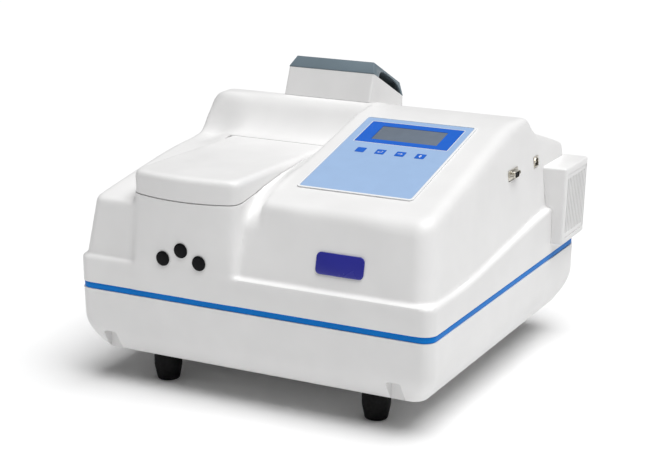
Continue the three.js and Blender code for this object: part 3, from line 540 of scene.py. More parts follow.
HINGE_LUGS = (-120.0, -55.0)
LUG_WIDTH = 7.0
LUG_R = 3.2
PIN_R = 1.5
BORE_R = 1.6
PLUGS = {"left": (-114.5, 179.9), "middle": (-89.0, 192.9), "right": (-63.9, 180.4)}
FAN_X, FAN_Y, FAN_Z, FAN_SIZE = 229.5, 183.0, 198.0, 70.0
FAN_CENTRE = (0, FAN_Y, FAN_Z)
SERIAL_Y, SERIAL_Z = 37.0, 262.5
USB_Y, USB_Z = 116.5, 261.0
BEYOND = 250.0
SEAT_X = 223.6
SOCKET_X = SEAT_X + 0.3
REAR_SEAT_Y = 233.3
REAR_Z = 226.0
INLET_X, SWITCH_X, FUSE_X = -150.0, -98.0, -60.0
# The keys stand in a row, KEY_S up the panel's slope.
KEY_S = -61.2
KEY_XS = [61.3 + 26.8 * i for i in range(4)]


def side_seats():
    """Shallow flat seats in the right wall and the rear wall."""
    return [
        prism("tool", around(SERIAL_Y, SERIAL_Z, 16.5, 7.6, 2.0), "X", SEAT_X, BEYOND),
        prism("tool", around(USB_Y, USB_Z, 8.5, 8.0, 1.5), "X", SEAT_X, BEYOND),
        prism("tool", round_rect(INLET_X - 26, FUSE_X + 12, REAR_Z - 16, REAR_Z + 16, 5.0), "Y",
              REAR_SEAT_Y - 0.3, BEYOND),
    ]


def side_holes():
    """Through holes of the right wall and the rear wall."""
    fan = FAN_SIZE / 2 + 0.5
    return [
        prism("tool", around(FAN_Y, FAN_Z, fan, fan, 5.0), "X", 200, BEYOND),
        block("tool", 205, BEYOND, SERIAL_Y - 10.5, SERIAL_Y + 10.5, SERIAL_Z - 5.6, SERIAL_Z + 5.6),
        block("tool", 205, BEYOND, USB_Y - 6.4, USB_Y + 6.4, USB_Z - 6, USB_Z + 6),
        block("tool", INLET_X - 14.5, INLET_X + 14.5, 210, BEYOND, REAR_Z - 10.5, REAR_Z + 10.5),
        block("tool", SWITCH_X - 14, SWITCH_X + 14, 210, BEYOND, REAR_Z - 10.6, REAR_Z + 10.6),
        cylinder("tool", "Y", (FUSE_X, 0, REAR_Z), 6.5, 210, BEYOND),
    ]


def top_holes():
    """Openings for the well, the lamp's chimney, the hinge pin, the display and the keys."""
    panel = [
        prism("tool", panel_rect(DISPLAY, -2.2, 2.0), "Z", -12, 10),
        prism("tool", round_rect(54, 152, KEY_S - 8, KEY_S + 8, 2.0), "Z", -12, 10),
    ]
    return [
        prism("tool", round_rect(*WELL, 8.0), "Z", 200, 330),
        prism("tool", round_rect(*CHIMNEY, 6.0), "Z", 200, 340),
        cylinder("tool", "X", (0, HINGE_Y, HINGE_Z), PIN_R + 0.3, -150, -25, 32),
    ] + [on_panel(hole) for hole in panel]


def hinge_lugs():
    lugs = []
    for x in HINGE_LUGS:
        side = arc(HINGE_Y, HINGE_Z, LUG_R, -30, 210, 20)
        side = [(HINGE_Y + 1.9, DECK_REAR - 2.0)] + side + [(HINGE_Y - 1.9, DECK_REAR - 2.0)]
        lugs.append(prism("lug", side, "X", x - LUG_WIDTH / 2, x + LUG_WIDTH / 2))
    return joined("lugs", lugs)


def make_cover():
    """A thin skin over the cover's form, with the deck, the hinge lugs and every opening."""
    shell = polygonise("upper_cover", cover_field, (-BEYOND, -BEYOND, 118), (BEYOND, 248, 330), CELL)
    boolean(shell, over_deck(0.0, BLOCK_LEFT - 0.2, BLOCK_RIGHT + 0.5, 300.0))
    cut_flat(shell, COVER_LOW, -1)
    thicken(shell, WALL)
    add(shell, hinge_lugs())
    plugs = [cylinder("tool", "Y", (x, 0, z), 8.3, -BEYOND, -225) for x, z in PLUGS.values()]
    boolean(shell, joined("seats", side_seats()))
    boolean(shell, joined("holes", side_holes() + top_holes() + plugs))
    return shade(shell, 40)


# ---------------------------------------------------------------- the lid

def make_lid():
    """A slab that follows the deck, hollow over the well, bored and slotted for the hinge."""
    lid = polygonise("sample_lid", lid_field, (-170, -250, 228), (-4, 12, 292), LID_CELL)
    boolean(lid, under_deck(LID_GAP))
    room = [(WELL[2], 230.0), (WELL[3], 230.0), (WELL[3], 274.0), (WELL[2], 278.0)]
    tools = [prism("tool", room, "X", WELL[0], WELL[1])]
    rear = [(HINGE_Y, 262.0), (HINGE_Y + 8.0, 262.0), (HINGE_Y + 8.0, HINGE_Z)]
    rear += arc(HINGE_Y, HINGE_Z, LID_TOP_REAR - HINGE_Z, 0, -90, 14)
    tools.append(prism("tool", rear, "X", -180, 10))
    for x in HINGE_LUGS:
        x0, x1 = x - LUG_WIDTH / 2 - 0.5, x + LUG_WIDTH / 2 + 0.5
        slot = arc(HINGE_Y, HINGE_Z, LUG_R + 0.4, 60, 180, 14)
        slot += [(HINGE_Y - 3.6, 260.0), (HINGE_Y + 9.0, 260.0), (HINGE_Y + 9.0, HINGE_Z + 3.0)]
        tools.append(prism("tool", slot, "X", x0, x1))
    tools.append(cylinder("tool", "X", (0, HINGE_Y, HINGE_Z), BORE_R, -141, -34, 32))
    for tool in tools:
        boolean(lid, tool)
    return shade(lid, 40)


# ---------------------------------------------------------------- the base tray, its trim and feet

def tray_field(x, y, z):
    """Walls that lean in gently, then by more towards the bottom."""
    tuck = 0.62 * smax(TRAY_TAPER - z, 0.0, 16.0) + 0.02 * (TRAY_RIM - z)
    side = rect_field(x, y, -HALF_W + tuck, HALF_W - tuck, -HALF_D + tuck, HALF_D - tuck, PLAN_CORNER)
    side = side / math.sqrt(1 + 0.3)
    return smax(side, TRAY_BOTTOM - z, 7.0)


POCKET_XS = (-199.5, 190.0)


def make_tray():
    """An open dish with a post in each corner, a hole over each foot and two pockets in its front edge."""
    tray = polygonise("base_tray", lambda x, y, z: np.maximum(tray_field(x, y, z), z - 140.0),
                      (-248, -248, 38), (248, 248, 144), CELL)
    cut_flat(tray, TRAY_RIM, 1)
    thicken(tray, WALL)
    side = [(-214.5, 46.0), (-212.0, 46.0), (-212.0, 78.0), (-234.2, 78.0), (-233.5, 73.0), (-218.0, 50.0)]
    add(tray, joined("bosses", [prism("boss", side, "X", x - 13, x + 13) for x in POCKET_XS]))
    posts = [cylinder("post", "Z", (x, y, 0), 8.0, 46, 117.7) for x in (-200, 200) for y in (-200, 200)]
    add(tray, joined("posts", posts))
    pockets = [prism("tool", around(x, 51.0, 9.5, 21.0, 3.5), "Y", -BEYOND, -217) for x in POCKET_XS]
    holes = [cylinder("tool", "Z", (x, y, 0), 3.4, 36, 60) for x, y in FEET.values()]
    boolean(tray, joined("holes", pockets + holes))
    return shade(tray, 40)


def make_trim():
    """The band's section is a flat strip with rounded outer edges, swept round the plan."""
    edge = [(8.0, 0.0), (1.9, 0.0), (1.25, 0.25), (1.0, 0.9)]
    section = [(inset, TRIM_HIGH - rise) for inset, rise in edge]
    section += [(inset, TRIM_LOW + rise) for inset, rise in edge[::-1]]
    rings = []
    for inset, z in section:
        plan = around(0, 0, HALF_W - inset, HALF_D - inset, PLAN_CORNER - inset, 12)
        rings.append([(x, y, z) for x, y in plan])
    faces = bands(len(rings), len(rings[0]), closed=True)
    return shade(mesh_piece("trim_band", np.array(rings).reshape(-1, 3), faces), 40)


FEET = {"front_left": (-146, -185), "front_right": (146, -185), "rear_left": (-146, 185),
        "rear_right": (146, 185)}


def make_foot(name, x, y):
    """A rubber foot with a bore for its screw."""
    profile = [(3.4, 43.7), (3.4, 14.0), (6.8, 14.0), (6.8, 5.0), (7.3, FOOT_LOW), (12.2, FOOT_LOW)]
    profile += [(13.2, 4.8), (13.9, 5.5), (14.4, 7.0), (16.7, 18.5), (17.2, 21.0), (17.5, 24.0)]
    profile += [(17.5, 42.6), (17.1, 43.4), (16.4, 43.7), (3.4, 43.7)]
    return shade(turned("foot_" + name, profile, "Z", (x, y, 0), 64), 30)


def make_foot_screw(name, x, y):
    """A round-headed screw with a drive recess, whose thread is drawn as plain rings."""
    crest, root, turns = 3.0, 2.62, 42
    profile = [(0, 10.2), (2.0, 10.2), (2.0, 8.4), (2.2, 8.05), (5.0, 8.05), (5.5, 8.5), (5.6, 10.0)]
    profile += [(5.0, 13.6), (crest, 13.7)]
    for i in range(turns):
        profile += [(crest, 14.2 + i), (root, 14.7 + i)]
    profile += [(2.6, 56.0), (0, 56.0)]
    return shade(turned("foot_screw_" + name, profile, "Z", (x, y, 0), 32), 30)


def make_plug(name, x, z):
    """A domed head flush with the compartment's front, over a shank with a snap ridge."""
    front = -240.9
    head = [(0, 0), (4.0, 0.05), (7.0, 0.3), (8.5, 0.7), (9.1, 1.2), (9.2, 1.8), (9.0, 2.0)]
    shank = [(7.9, 2.0), (7.9, 5.3), (8.15, 5.9), (7.9, 6.5), (7.6, 11.5), (7.2, 11.9), (0, 11.9)]
    return shade(turned("hole_plug_" + name, head + shank, "Y", (x, front, z), 56), 35)


def make_nameplate():
    """A small domed plate that leans back with the cover's front."""
    x, z = 117.0, 199.0
    front = UPPER_FRONT + FRONT_DRAFT * (z - DRAFT_Z) - 0.35
    plate = soften(prism("nameplate", around(0, 0, 31, 13, 6.0, 10), "Y", -1.6, 0.0), 0.7, 4, 60)
    return move(plate, shift(x, front, z), Matrix.Rotation(-math.atan(FRONT_DRAFT), 4, "X"))


# ---------------------------------------------------------------- control panel

KEYPAD = (27.2, 179.5, -169.0, 30.5)
FRAME = (41.7, 167.0, -39.5, 17.3)
DISPLAY = (60.5, 149.0, -29.5, 7.0)


def panel_rect(area, inset, r, steps=6):
    x0, x1, s0, s1 = area
    return round_rect(x0 + inset, x1 - inset, s0 + inset, s1 - inset, r, steps)


def plate_with_holes(name, outline, holes, h0, h1):
    tools = [prism("hole", hole, "Z", h0 - 5, h1 + 5) for hole in holes]
    return boolean(prism(name, outline, "Z", h0, h1), joined("holes", tools))


def make_bezel():
    outer, inner = panel_rect(KEYPAD, 0, 5.5, 10), panel_rect(KEYPAD, 3, 3.4, 10)
    return on_panel(soften(plate_with_holes("keypad_bezel", outer, [inner], 0.3, 1.7), 0.5, 3))


def make_overlay():
    holes = [panel_rect(FRAME, -0.3, 1.3)]
    holes += [around(x, KEY_S, 6.3, 6.3, 1.3) for x in KEY_XS]
    overlay = plate_with_holes("keypad_overlay", panel_rect(KEYPAD, 3.3, 3.1, 10), holes, 0.3, 1.2)
    return on_panel(soften(overlay, 0.12, 2, 50, 20))


def make_display_frame():
    outer, inner = panel_rect(FRAME, 0, 1.0), panel_rect(DISPLAY, -0.3, 1.0)
    return on_panel(soften(plate_with_holes("display_frame", outer, [inner], 0.3, 1.3), 0.12, 2, 50, 20))


def make_display_window():
    window = prism("display_window", panel_rect(DISPLAY, 0, 0.8), "Z", -3.6, 1.0)
    return on_panel(soften(window, 0.25, 3))


def make_key(index):
    """A domed square cap on a short stem."""
    x = KEY_XS[index]
    cap = soften(prism(f"key_{index + 1}", around(x, KEY_S, 6, 6, 1.1), "Z", 0.4, 1.45), 0.3, 3)
    add(cap, block("stem", x - 2.5, x + 2.5, KEY_S - 2.5, KEY_S + 2.5, -3.8, 0.8))
    return on_panel(shade(cap, 30))


def strip(points, width):
    """A closed flat outline around a polyline of the given width."""
    points = [Vector(p) for p in points]
    left = []
    right = []
    for i, point in enumerate(points):
        before = points[max(i - 1, 0)]
        after = points[min(i + 1, len(points) - 1)]
        along = (after - before).normalized()
        side = Vector((-along.y, along.x)) * width / 2
        left.append(tuple(point + side))
        right.append(tuple(point - side))
    return right + left[::-1]


def key_marks(index):
    """Printed symbols: a bent enter arrow, a flat arrow, and a pair of up and down pointers."""
    if index == 1:
        bent = strip([(2.4, 2.2), (2.4, -1.2), (-1.6, -1.2)], 0.7)
        return [bent, [(-3.4, -1.2), (-1.4, -2.6), (-1.4, 0.2)]]
    if index == 2:
        return [strip([(-3.2, 0.0), (1.4, 0.0)], 0.7), [(1.2, -1.5), (3.4, 0.0), (1.2, 1.5)]]
    if index == 3:
        return [[(-1.9, 0.5), (1.9, 0.5), (0.0, 3.2)], [(1.9, -0.5), (-1.9, -0.5), (0.0, -3.2)]]
    return []


def make_key_marks(index):
    outlines = [[(KEY_XS[index] + a, KEY_S + b) for a, b in shape] for shape in key_marks(index)]
    marks = [prism("mark", outline, "Z", 1.4, 1.5) for outline in outlines]
    return on_panel(joined(f"key_{index + 1}_symbol", marks))


def make_overlay_lines():
    """A thin white line round the display's frame."""
    outer, inner = panel_rect(FRAME, -1.1, 1.6), panel_rect(FRAME, -0.35, 1.3)
    return on_panel(plate_with_holes("overlay_lines", outer, [inner], 1.15, 1.28))


# ---------------------------------------------------------------- lamp hood

HOOD_X = (-127.5, 0.3)
HOOD_FOOT = (88.5, 321.5)
HOOD_TOP = (103.0, 357.3)
HOOD_REAR = 193.0
HOOD_SLOPE = 0.502
HOOD_LEAN = (HOOD_TOP[0] - HOOD_FOOT[0]) / (HOOD_TOP[1] - HOOD_FOOT[1])
CAP_HEIGHT = 18.5
CAP_INSET = 5.3
CAP_INSET_LEFT = 7.6
CAP_BEVEL = 9.7
VENT = (117.0, 188.5)
VENT_HEIGHT = 15.0
CHIMNEY = (-116.0, -10.0, 108.0, 152.0)


def hood_edge(y):
    """Height of the walls' top edge, which falls towards the rear."""
    return HOOD_TOP[1] - HOOD_SLOPE * (y - HOOD_TOP[0])


def make_hood():
    """A box with a leaning front, open at its sloping top and where it meets the cover."""
    low, high = 262.0, 400.0

    def box(name, wall, extra):
        front = [HOOD_TOP[0] + HOOD_LEAN * (z - HOOD_TOP[1]) + wall for z in (low, high)]
        rear = HOOD_REAR - wall
        side = [(front[0], low - extra), (rear, low - extra), (rear, high + extra),
                (front[1], high + extra)]
        return prism(name, side, "X", HOOD_X[0] + wall, HOOD_X[1] - wall)

    hood = soften(box("lamp_hood", 0, 0), 2.6, 4, 60)
    boolean(hood, box("room", WALL, 9))
    above = [(60, hood_edge(60)), (220, hood_edge(220)), (220, high + 60), (60, high + 60)]
    boolean(hood, prism("above", above, "X", HOOD_X[0] - 9, HOOD_X[1] + 9))

    def raised_cover(x, y, z):
        body = np.maximum(cover_field(x, y, z - 0.4), 240.0 - z)
        return np.maximum(body, np.maximum(np.abs(x + 63.6) - 78.0, np.abs(y - 140.0) - 72.0))

    boolean(hood, polygonise("under", raised_cover, (-150, 60, 232), (22, 220, 334), CELL))
    return shade(hood, 35)


def cap_form(name, sink):
    """The cap's outer form for sink = 0; a larger sink gives the form that far inside it, open below."""
    drop = 8.0 if sink else 0.0
    lean = CAP_INSET / CAP_HEIGHT
    left_lean = CAP_INSET_LEFT / CAP_HEIGHT
    front = HOOD_TOP[0] + 1.2 * sink
    ridge = front + CAP_BEVEL
    rear = HOOD_REAR - sink
    rings = []
    for y in (front, ridge, rear):
        low = hood_edge(y) + 0.3 - drop
        top = hood_edge(y) + 0.3 + CAP_HEIGHT - sink * math.hypot(1, HOOD_SLOPE)
        if y == front:
            top = hood_edge(y) + 1.4
        x0 = HOOD_X[0] + sink - left_lean * drop
        x1 = HOOD_X[1] - sink + lean * drop
        rise = top - low
        left_top, right_top = x0 + left_lean * rise, x1 - lean * rise
        rings.append([(x0, y, low), (left_top, y, top), (right_top, y, top), (x1, y, low)])
    faces = bands(3, 4) + [[3, 2, 1, 0], [8, 9, 10, 11]]
    return face_outwards(mesh_piece(name, np.array(rings).reshape(-1, 3), faces, smooth=False))


def vent_outline():
    """A long rounded opening whose straight lower side follows the cap's sloping edge."""
    front, rear = VENT
    points = [(front, -1.0)]
    points += bend((front, 0.5), (front + 10, VENT_HEIGHT), (front + 30, VENT_HEIGHT), 15)
    points += bend((rear - 24, VENT_HEIGHT), (rear - 1, VENT_HEIGHT), (rear, 0.5), 15)
    points += [(rear, -1.0)]
    return [(y, hood_edge(y) + h) for y, h in points][::-1]


def make_hood_cap():
    """A grey cap with bevelled front and sides, hollow, with a vent along each side."""
    cap = soften(cap_form("hood_cap", 0.0), 1.3, 4, 15)
    boolean(cap, cap_form("hollow", WALL))
    boolean(cap, prism("vent", vent_outline(), "X", HOOD_X[0] - 10, HOOD_X[1] + 10))
    return soften(cap, 0.35, 2, 60, 35)


# ---------------------------------------------------------------- fan housing

BOX_X0, BOX_X1 = 229.0, 258.0
BOX_Y0, BOX_Y1 = 140.0, 224.0
BOX_Z0, BOX_Z1 = 146.5, 249.5
BOX_LEAN = 3.2
LOUVRE = (147.0, 220.0)
LOUVRE_LOW = 7.0
LOUVRE_HIGH = 9.0
SLOTS = 11


def on_box_face(piece):
    """Moves a piece drawn about the housing's top outer edge so that it leans with the face."""
    lean = math.atan2(BOX_LEAN, BOX_Z1 - BOX_Z0)
    return move(piece, shift(BOX_X1, 0, BOX_Z1), Matrix.Rotation(lean, 4, "Y"))


def box_skin(name, inset):
    left = BOX_X0 - 12 - inset
    side = [(left, BOX_Z0 + inset), (BOX_X1 - BOX_LEAN - inset, BOX_Z0 + inset),
            (BOX_X1 - inset, BOX_Z1 - inset), (left, BOX_Z1 - inset)]
    return prism(name, side, "Y", BOX_Y0 + inset, BOX_Y1 - inset)


def louvre_outline(gap):
    height = BOX_Z1 - BOX_Z0
    return round_rect(LOUVRE[0] + gap, LOUVRE[1] - gap, LOUVRE_LOW - height + gap, -LOUVRE_HIGH - gap, 1.2)


def make_fan_housing():
    """A box on the right wall whose face leans, with an opening for the louvres."""
    housing = soften(box_skin("fan_housing", 0), 3.0, 5, 40)
    boolean(housing, box_skin("room", WALL))
    boolean(housing, on_box_face(prism("field", louvre_outline(0), "X", -10, 10)))
    fan = FAN_SIZE / 2 + 0.5
    boolean(housing, block("fan", 200, 240, FAN_Y - fan, FAN_Y + fan, FAN_Z - fan, FAN_Z + fan))

    def beside(x, y, z):
        body = np.minimum(cover_field(x - 0.12, y, z), cover_field(x, y, z - 0.12))
        body = np.maximum(body, np.maximum(np.abs(y - 182.0) - 60.0, np.abs(z - 198.0) - 72.0))
        return np.maximum(body, 190.0 - x)

    boolean(housing, polygonise("under", beside, (182, 112, 118), (250, 250, 278), CELL))
    return shade(housing, 35)


def make_louvre():
    """A plate of upright ribs, each with rounded edges, with slots between them."""
    low, high = LOUVRE_LOW - (BOX_Z1 - BOX_Z0) + 6, -LOUVRE_HIGH - 6
    slots = [prism("slot", round_rect(y - 1.3, y + 1.3, low, high, 1.25, 5), "X", -6, 2)
             for y in np.linspace(*LOUVRE, SLOTS + 2)[1:-1]]
    plate = boolean(prism("louvre_panel", louvre_outline(0.3), "X", -3.0, -0.6), joined("slots", slots))
    return on_box_face(soften(plate, 0.4))


def make_fan_frame():
    """A square frame with a round bore, four struts, and the stator and spindle they carry."""
    x, half = FAN_X, FAN_SIZE / 2
    body = soften(prism("fan_frame", around(FAN_Y, FAN_Z, half, half, 4.5), "X", x, x + 20), 0.5)
    bore = [(0, x - 5), (33.6, x - 5), (32.6, x + 3), (32.5, x + 17), (33.6, x + 25), (0, x + 25)]
    boolean(body, turned("bore", bore, "X", FAN_CENTRE, 72))
    corners = [(FAN_Y + a, FAN_Z + b) for a in (30, -30) for b in (30, -30)]
    screws = [cylinder("screw", "X", (0, y, z), 2.1, x - 3, x + 23, 24) for y, z in corners]
    boolean(body, joined("screws", screws))
    for degrees in (45, 135, 225, 315):
        c, s = math.cos(math.radians(degrees)), math.sin(math.radians(degrees))
        side = [(FAN_Y + a * c - b * s, FAN_Z + a * s + b * c)
                for a, b in ((8, -1.6), (33.4, -1.6), (33.4, 1.6), (8, 1.6))]
        add(body, prism("strut", side, "X", x + 0.1, x + 2.5))
    add(body, cylinder("stator", "X", FAN_CENTRE, 13.0, x, x + 3, 48))
    add(body, cylinder("spindle", "X", FAN_CENTRE, 2.0, x + 2, x + 14, 24))
    return shade(body, 35)


def make_fan_rotor():
    """A domed hub and seven twisted blades that curve forwards."""
    x, blade_count = FAN_X, 7
    profile = [(0, 14.6), (2.2, 14.6), (2.2, 4.0), (12.9, 4.0), (13.5, 4.6), (13.5, 15.6), (12.9, 16.6),
               (12.0, 17.0), (0, 17.0)]
    hub = turned("fan_rotor", profile, "X", (x, FAN_Y, FAN_Z), 56)
    stations = np.linspace(11.5, 31.4, 9)
    for i in range(blade_count):
        points = []
        for radius in stations:
            share = (radius - stations[0]) / (stations[-1] - stations[0])
            pitch = math.radians(52 - 22 * share)
            half = 5.6 + 1.6 * share
            lead = math.radians(360 / blade_count * i + 26 * share * share)
            for side, along in ((-1, -1), (-1, 0), (-1, 1), (1, 1), (1, 0), (1, -1)):
                chord = along * half
                camber = 0.9 * (1 - along * along)
                off = camber + side * (0.35 + 0.35 * (1 - abs(along)))
                axial = chord * math.sin(pitch) * 0.86 + off * math.cos(pitch)
                turn = lead + (chord * math.cos(pitch) - off * math.sin(pitch)) / radius
                y, z = radius * math.cos(turn), radius * math.sin(turn)
                points.append((x + 10.4 + axial, FAN_Y + y, FAN_Z + z))
        faces = bands(len(stations), 6) + [list(range(6))[::-1], list(range(len(points) - 6, len(points)))]
        add(hub, face_outwards(mesh_piece("blade", points, faces)))
    return shade(hub, 35)


# ---------------------------------------------------------------- sockets on the right wall

def dee(inset):
    """The serial socket's D shape, with rounded corners."""
    taper = 1.35
    wide, half = 8.4 - inset, 4.2 - inset
    corner = 1.6 - min(inset, 1.0)
    plain = [(-wide, half), (-wide + taper, -half), (wide - taper, -half), (wide, half)]
    plain = [Vector((SERIAL_Y + y, SERIAL_Z + z)) for y, z in plain]
    shape = []
    for i, here in enumerate(plain):
        before = (plain[i - 1] - here).normalized()
        after = (plain[(i + 1) % 4] - here).normalized()
        shape += bend(here + before * corner, here, here + after * corner, 6)
    return shape


def hexagon(cx, cy, r):
    return arc(cx, cy, r, 0, 360, 6)[:-1]


def make_serial_socket():
    """A nine-way socket: a dished flange, a D-shaped shell and two hexagonal jack posts."""
    x = SOCKET_X
    flange = prism("serial_socket", around(SERIAL_Y, SERIAL_Z, 15.4, 6.25, 1.2), "X", x, x + 0.9)
    soften(flange, 0.25)
    add(flange, soften(prism("shell", dee(0.0), "X", x + 0.2, x + 6.4), 0.3))
    add(flange, soften(prism("root", dee(-0.7), "X", x + 0.4, x + 1.6), 0.45))
    boolean(flange, prism("hollow", dee(0.6), "X", 200, 240))
    for y in (SERIAL_Y - 12.5, SERIAL_Y + 12.5):
        add(flange, soften(prism("post", hexagon(y, SERIAL_Z, 2.7), "X", x + 0.5, x + 5.2), 0.25))
        boolean(flange, cylinder("thread", "X", (0, y, SERIAL_Z), 1.35, x + 1.2, x + 8, 20))
    return shade(flange, 30)


def make_serial_core():
    """The black insulator with its nine pin holes."""
    x, pitch = SOCKET_X, 2.77
    core = soften(prism("serial_socket_core", dee(1.1), "X", 215, x + 5.6), 0.25)
    add(core, block("rear", 207, x - 1.5, SERIAL_Y - 9.8, SERIAL_Y + 9.8, SERIAL_Z - 5.2, SERIAL_Z + 5.2))
    holes = []
    for row, count in ((1.42, 5), (-1.42, 4)):
        for i in range(count):
            y = SERIAL_Y + (i - (count - 1) / 2) * pitch
            profile = [(0, x + 1.0), (0.55, x + 1.0), (0.55, x + 5.2), (0.85, x + 5.8), (0, x + 5.8)]
            holes.append(turned("hole", profile, "X", (0, y, SERIAL_Z + row), 16))
    boolean(core, joined("holes", holes))
    return shade(core, 30)


def make_usb_socket():
    """A square printer-type socket with a lip and a tongue."""
    x = SOCKET_X
    shape = [(-6, -5.6), (6, -5.6), (6, 2.9), (3.3, 5.6), (-3.3, 5.6), (-6, 2.9)]
    can = [(USB_Y + y, USB_Z + z) for y, z in shape]
    hollow = [(USB_Y + y * 0.9, USB_Z + z * 0.89) for y, z in shape]
    socket = prism("usb_socket", can, "X", 208, x + 1.9)
    add(socket, soften(prism("lip", around(USB_Y, USB_Z, 7.9, 7.4, 1.2), "X", x, x + 0.9), 0.25))
    boolean(socket, prism("hollow", hollow, "X", 211, 240))
    tongue = block("tongue", 210, x + 0.4, USB_Y - 2.8, USB_Y + 2.8, USB_Z - 1.6, USB_Z + 1.6)
    add(socket, soften(tongue, 0.25))
    return shade(socket, 30)


# ---------------------------------------------------------------- power inlet, switch and fuse at the rear

def make_mains_inlet():
    """A flange with a keyed cavity, three pins and two countersunk screw holes."""
    y, z = REAR_SEAT_Y, REAR_Z
    inlet = soften(prism("mains_inlet", around(INLET_X, z, 25, 14, 3.0), "Y", y, y + 2.4), 0.5, 3)
    add(inlet, block("body", INLET_X - 14, INLET_X + 14, y - 20, y + 1, z - 10, z + 10))
    shape = [(INLET_X - 12.2, z - 8.2), (INLET_X + 12.2, z - 8.2), (INLET_X + 12.2, z + 4.4),
             (INLET_X + 8.2, z + 8.2), (INLET_X - 8.2, z + 8.2), (INLET_X - 12.2, z + 4.4)]
    boolean(inlet, prism("cavity", shape, "Y", y - 16, y + 10))
    for dx, dz in ((-7, -2), (7, -2), (0, 2.5)):
        pin = block("pin", INLET_X + dx - 1, INLET_X + dx + 1, y - 18, y - 2, z + dz - 2, z + dz + 2)
        add(inlet, soften(pin, 0.4))
    sink = [(0, y - 1), (1.7, y - 1), (1.7, y + 0.9), (3.3, y + 2.5), (3.3, y + 4), (0, y + 4)]
    for x in (INLET_X - 19.5, INLET_X + 19.5):
        boolean(inlet, turned("sink", sink, "Y", (x, 0, z), 32))
    return shade(inlet, 30)


def make_switch_frame():
    y, z = REAR_SEAT_Y, REAR_Z
    rim = soften(prism("power_switch_frame", around(SWITCH_X, z, 16, 12.5, 2.0), "Y", y, y + 2), 0.6, 3)
    add(rim, block("body", SWITCH_X - 13.5, SWITCH_X + 13.5, y - 18, y + 1, z - 10.2, z + 10.2))
    boolean(rim, block("cavity", SWITCH_X - 12, SWITCH_X + 12, y - 14, y + 10, z - 8.8, z + 8.8))
    return shade(rim, 30)


ROCKED = (shift(0, REAR_SEAT_Y - 4, REAR_Z), Matrix.Rotation(math.radians(-11), 4, "X"))


def make_rocker():
    """The switch's rocker, drawn about its own axis and then tipped to one side."""
    side = [(0, 8.2)] + arc(0, 0, 8.2, 90, 270, 24)[1:] + [(6.6, -7.3), (7.0, -6.8)]
    side += [(4.6 + 2.4 * t * t, 6.8 * t) for t in (-0.75, -0.5, -0.25, 0.0, 0.25, 0.5, 0.75)]
    side += [(7.0, 6.8), (6.6, 7.3)]
    rocker = prism("power_rocker", side, "X", SWITCH_X - 11.6, SWITCH_X + 11.6)
    return move(soften(rocker, 0.5, 2, 55), *ROCKED)


def make_rocker_marks():
    """The plain bar and ring that any power switch carries."""
    bar = prism("bar", [(-0.5, 2.6), (0.5, 2.6), (0.5, 5.6), (-0.5, 5.6)], "Y", 0, 0.12)
    outer, inner = [arc(0, -4.1, r, 0, 360, 32)[:-1] for r in (1.7, 1.1)]
    ring = boolean(prism("ring", outer, "Y", 0, 0.12), prism("hole", inner, "Y", -1, 1))
    for part, height, tilt in ((bar, 4.1, 17.5), (ring, -4.1, -17.5)):
        depth = 4.6 + 2.4 * (height / 6.8) ** 2
        move(part, *ROCKED, shift(SWITCH_X, depth, height), Matrix.Rotation(math.radians(-tilt), 4, "X"),
             shift(0, 0, -height))
    return joined("power_rocker_symbols", [bar, ring])


def make_fuse():
    """A panel fuse holder with a slotted cap."""
    y = REAR_SEAT_Y
    profile = [(0, -26), (5.6, -26), (6.1, -25.4), (6.1, 0), (8.0, 0), (8.0, 1.2), (7.6, 1.7), (6.6, 1.8),
               (6.5, 3.7), (6.0, 4.2), (0, 4.2)]
    fuse = turned("fuse_holder", profile, "Y", (FUSE_X, y, REAR_Z), 56)
    boolean(fuse, block("slot", FUSE_X - 5, FUSE_X + 5, y + 2.8, y + 9, REAR_Z - 0.8, REAR_Z + 0.8))
    return shade(fuse, 30)


# ---------------------------------------------------------------- the sample compartment

CUVETTE_X, CUVETTE_Y = -85.0, -133.0
BEAM_Z = 187.0
WELL_FLOOR = 131.3


def make_chamber():
    """A black box under the deck, with a light port in its rear wall and in its right wall."""
    x0, x1, y0, y1 = WELL
    outer = round_rect(x0 - WALL, x1 + WALL, y0 - WALL, y1 + WALL, 10.0, 10)
    chamber = prism("sample_chamber", outer, "Z", WELL_FLOOR - WALL, 290)
    boolean(chamber, over_deck(-4.3))
    room = prism("room", round_rect(*WELL, 8.0, 10), "Z", WELL_FLOOR, 300)
    boolean(chamber, soften(room, 1.5, 3))
    boolean(chamber, cylinder("port", "Y", (CUVETTE_X, 0, BEAM_Z), 3.0, y1 - 10, y1 + 10, 32))
    boolean(chamber, cylinder("port", "X", (0, CUVETTE_Y, BEAM_Z), 3.0, x1 - 10, x1 + 10, 32))
    return shade(chamber, 35)


def make_cuvette_holder():
    """A post with a square pocket and light ports, on a foot held by two socket-head screws."""
    x, y = CUVETTE_X, CUVETTE_Y
    base = WELL_FLOOR + 0.3
    holder = soften(prism("cuvette_holder", around(x, y, 30, 25, 4.0), "Z", base, base + 5), 0.6)
    add(holder, soften(prism("post", around(x, y, 15, 15, 1.5), "Z", base + 2, 206), 0.6))
    boolean(holder, block("pocket", x - 6.55, x + 6.55, y - 6.55, y + 6.55, 171.7, 240))
    boolean(holder, cylinder("port", "X", (0, y, BEAM_Z), 5.0, x - 20, x + 20, 40))
    boolean(holder, cylinder("port", "Y", (x, 0, BEAM_Z), 5.0, y - 20, y + 20, 40))
    for side in (x - 23, x + 23):
        boolean(holder, cylinder("sink", "Z", (side, y, 0), 3.8, base + 1.5, base + 9, 32))
        add(holder, cylinder("head", "Z", (side, y, 0), 3.3, base + 1.0, base + 4.6, 32))
        boolean(holder, prism("socket", hexagon(side, y, 1.6), "Z", base + 2.8, base + 9))
    return shade(holder, 35)


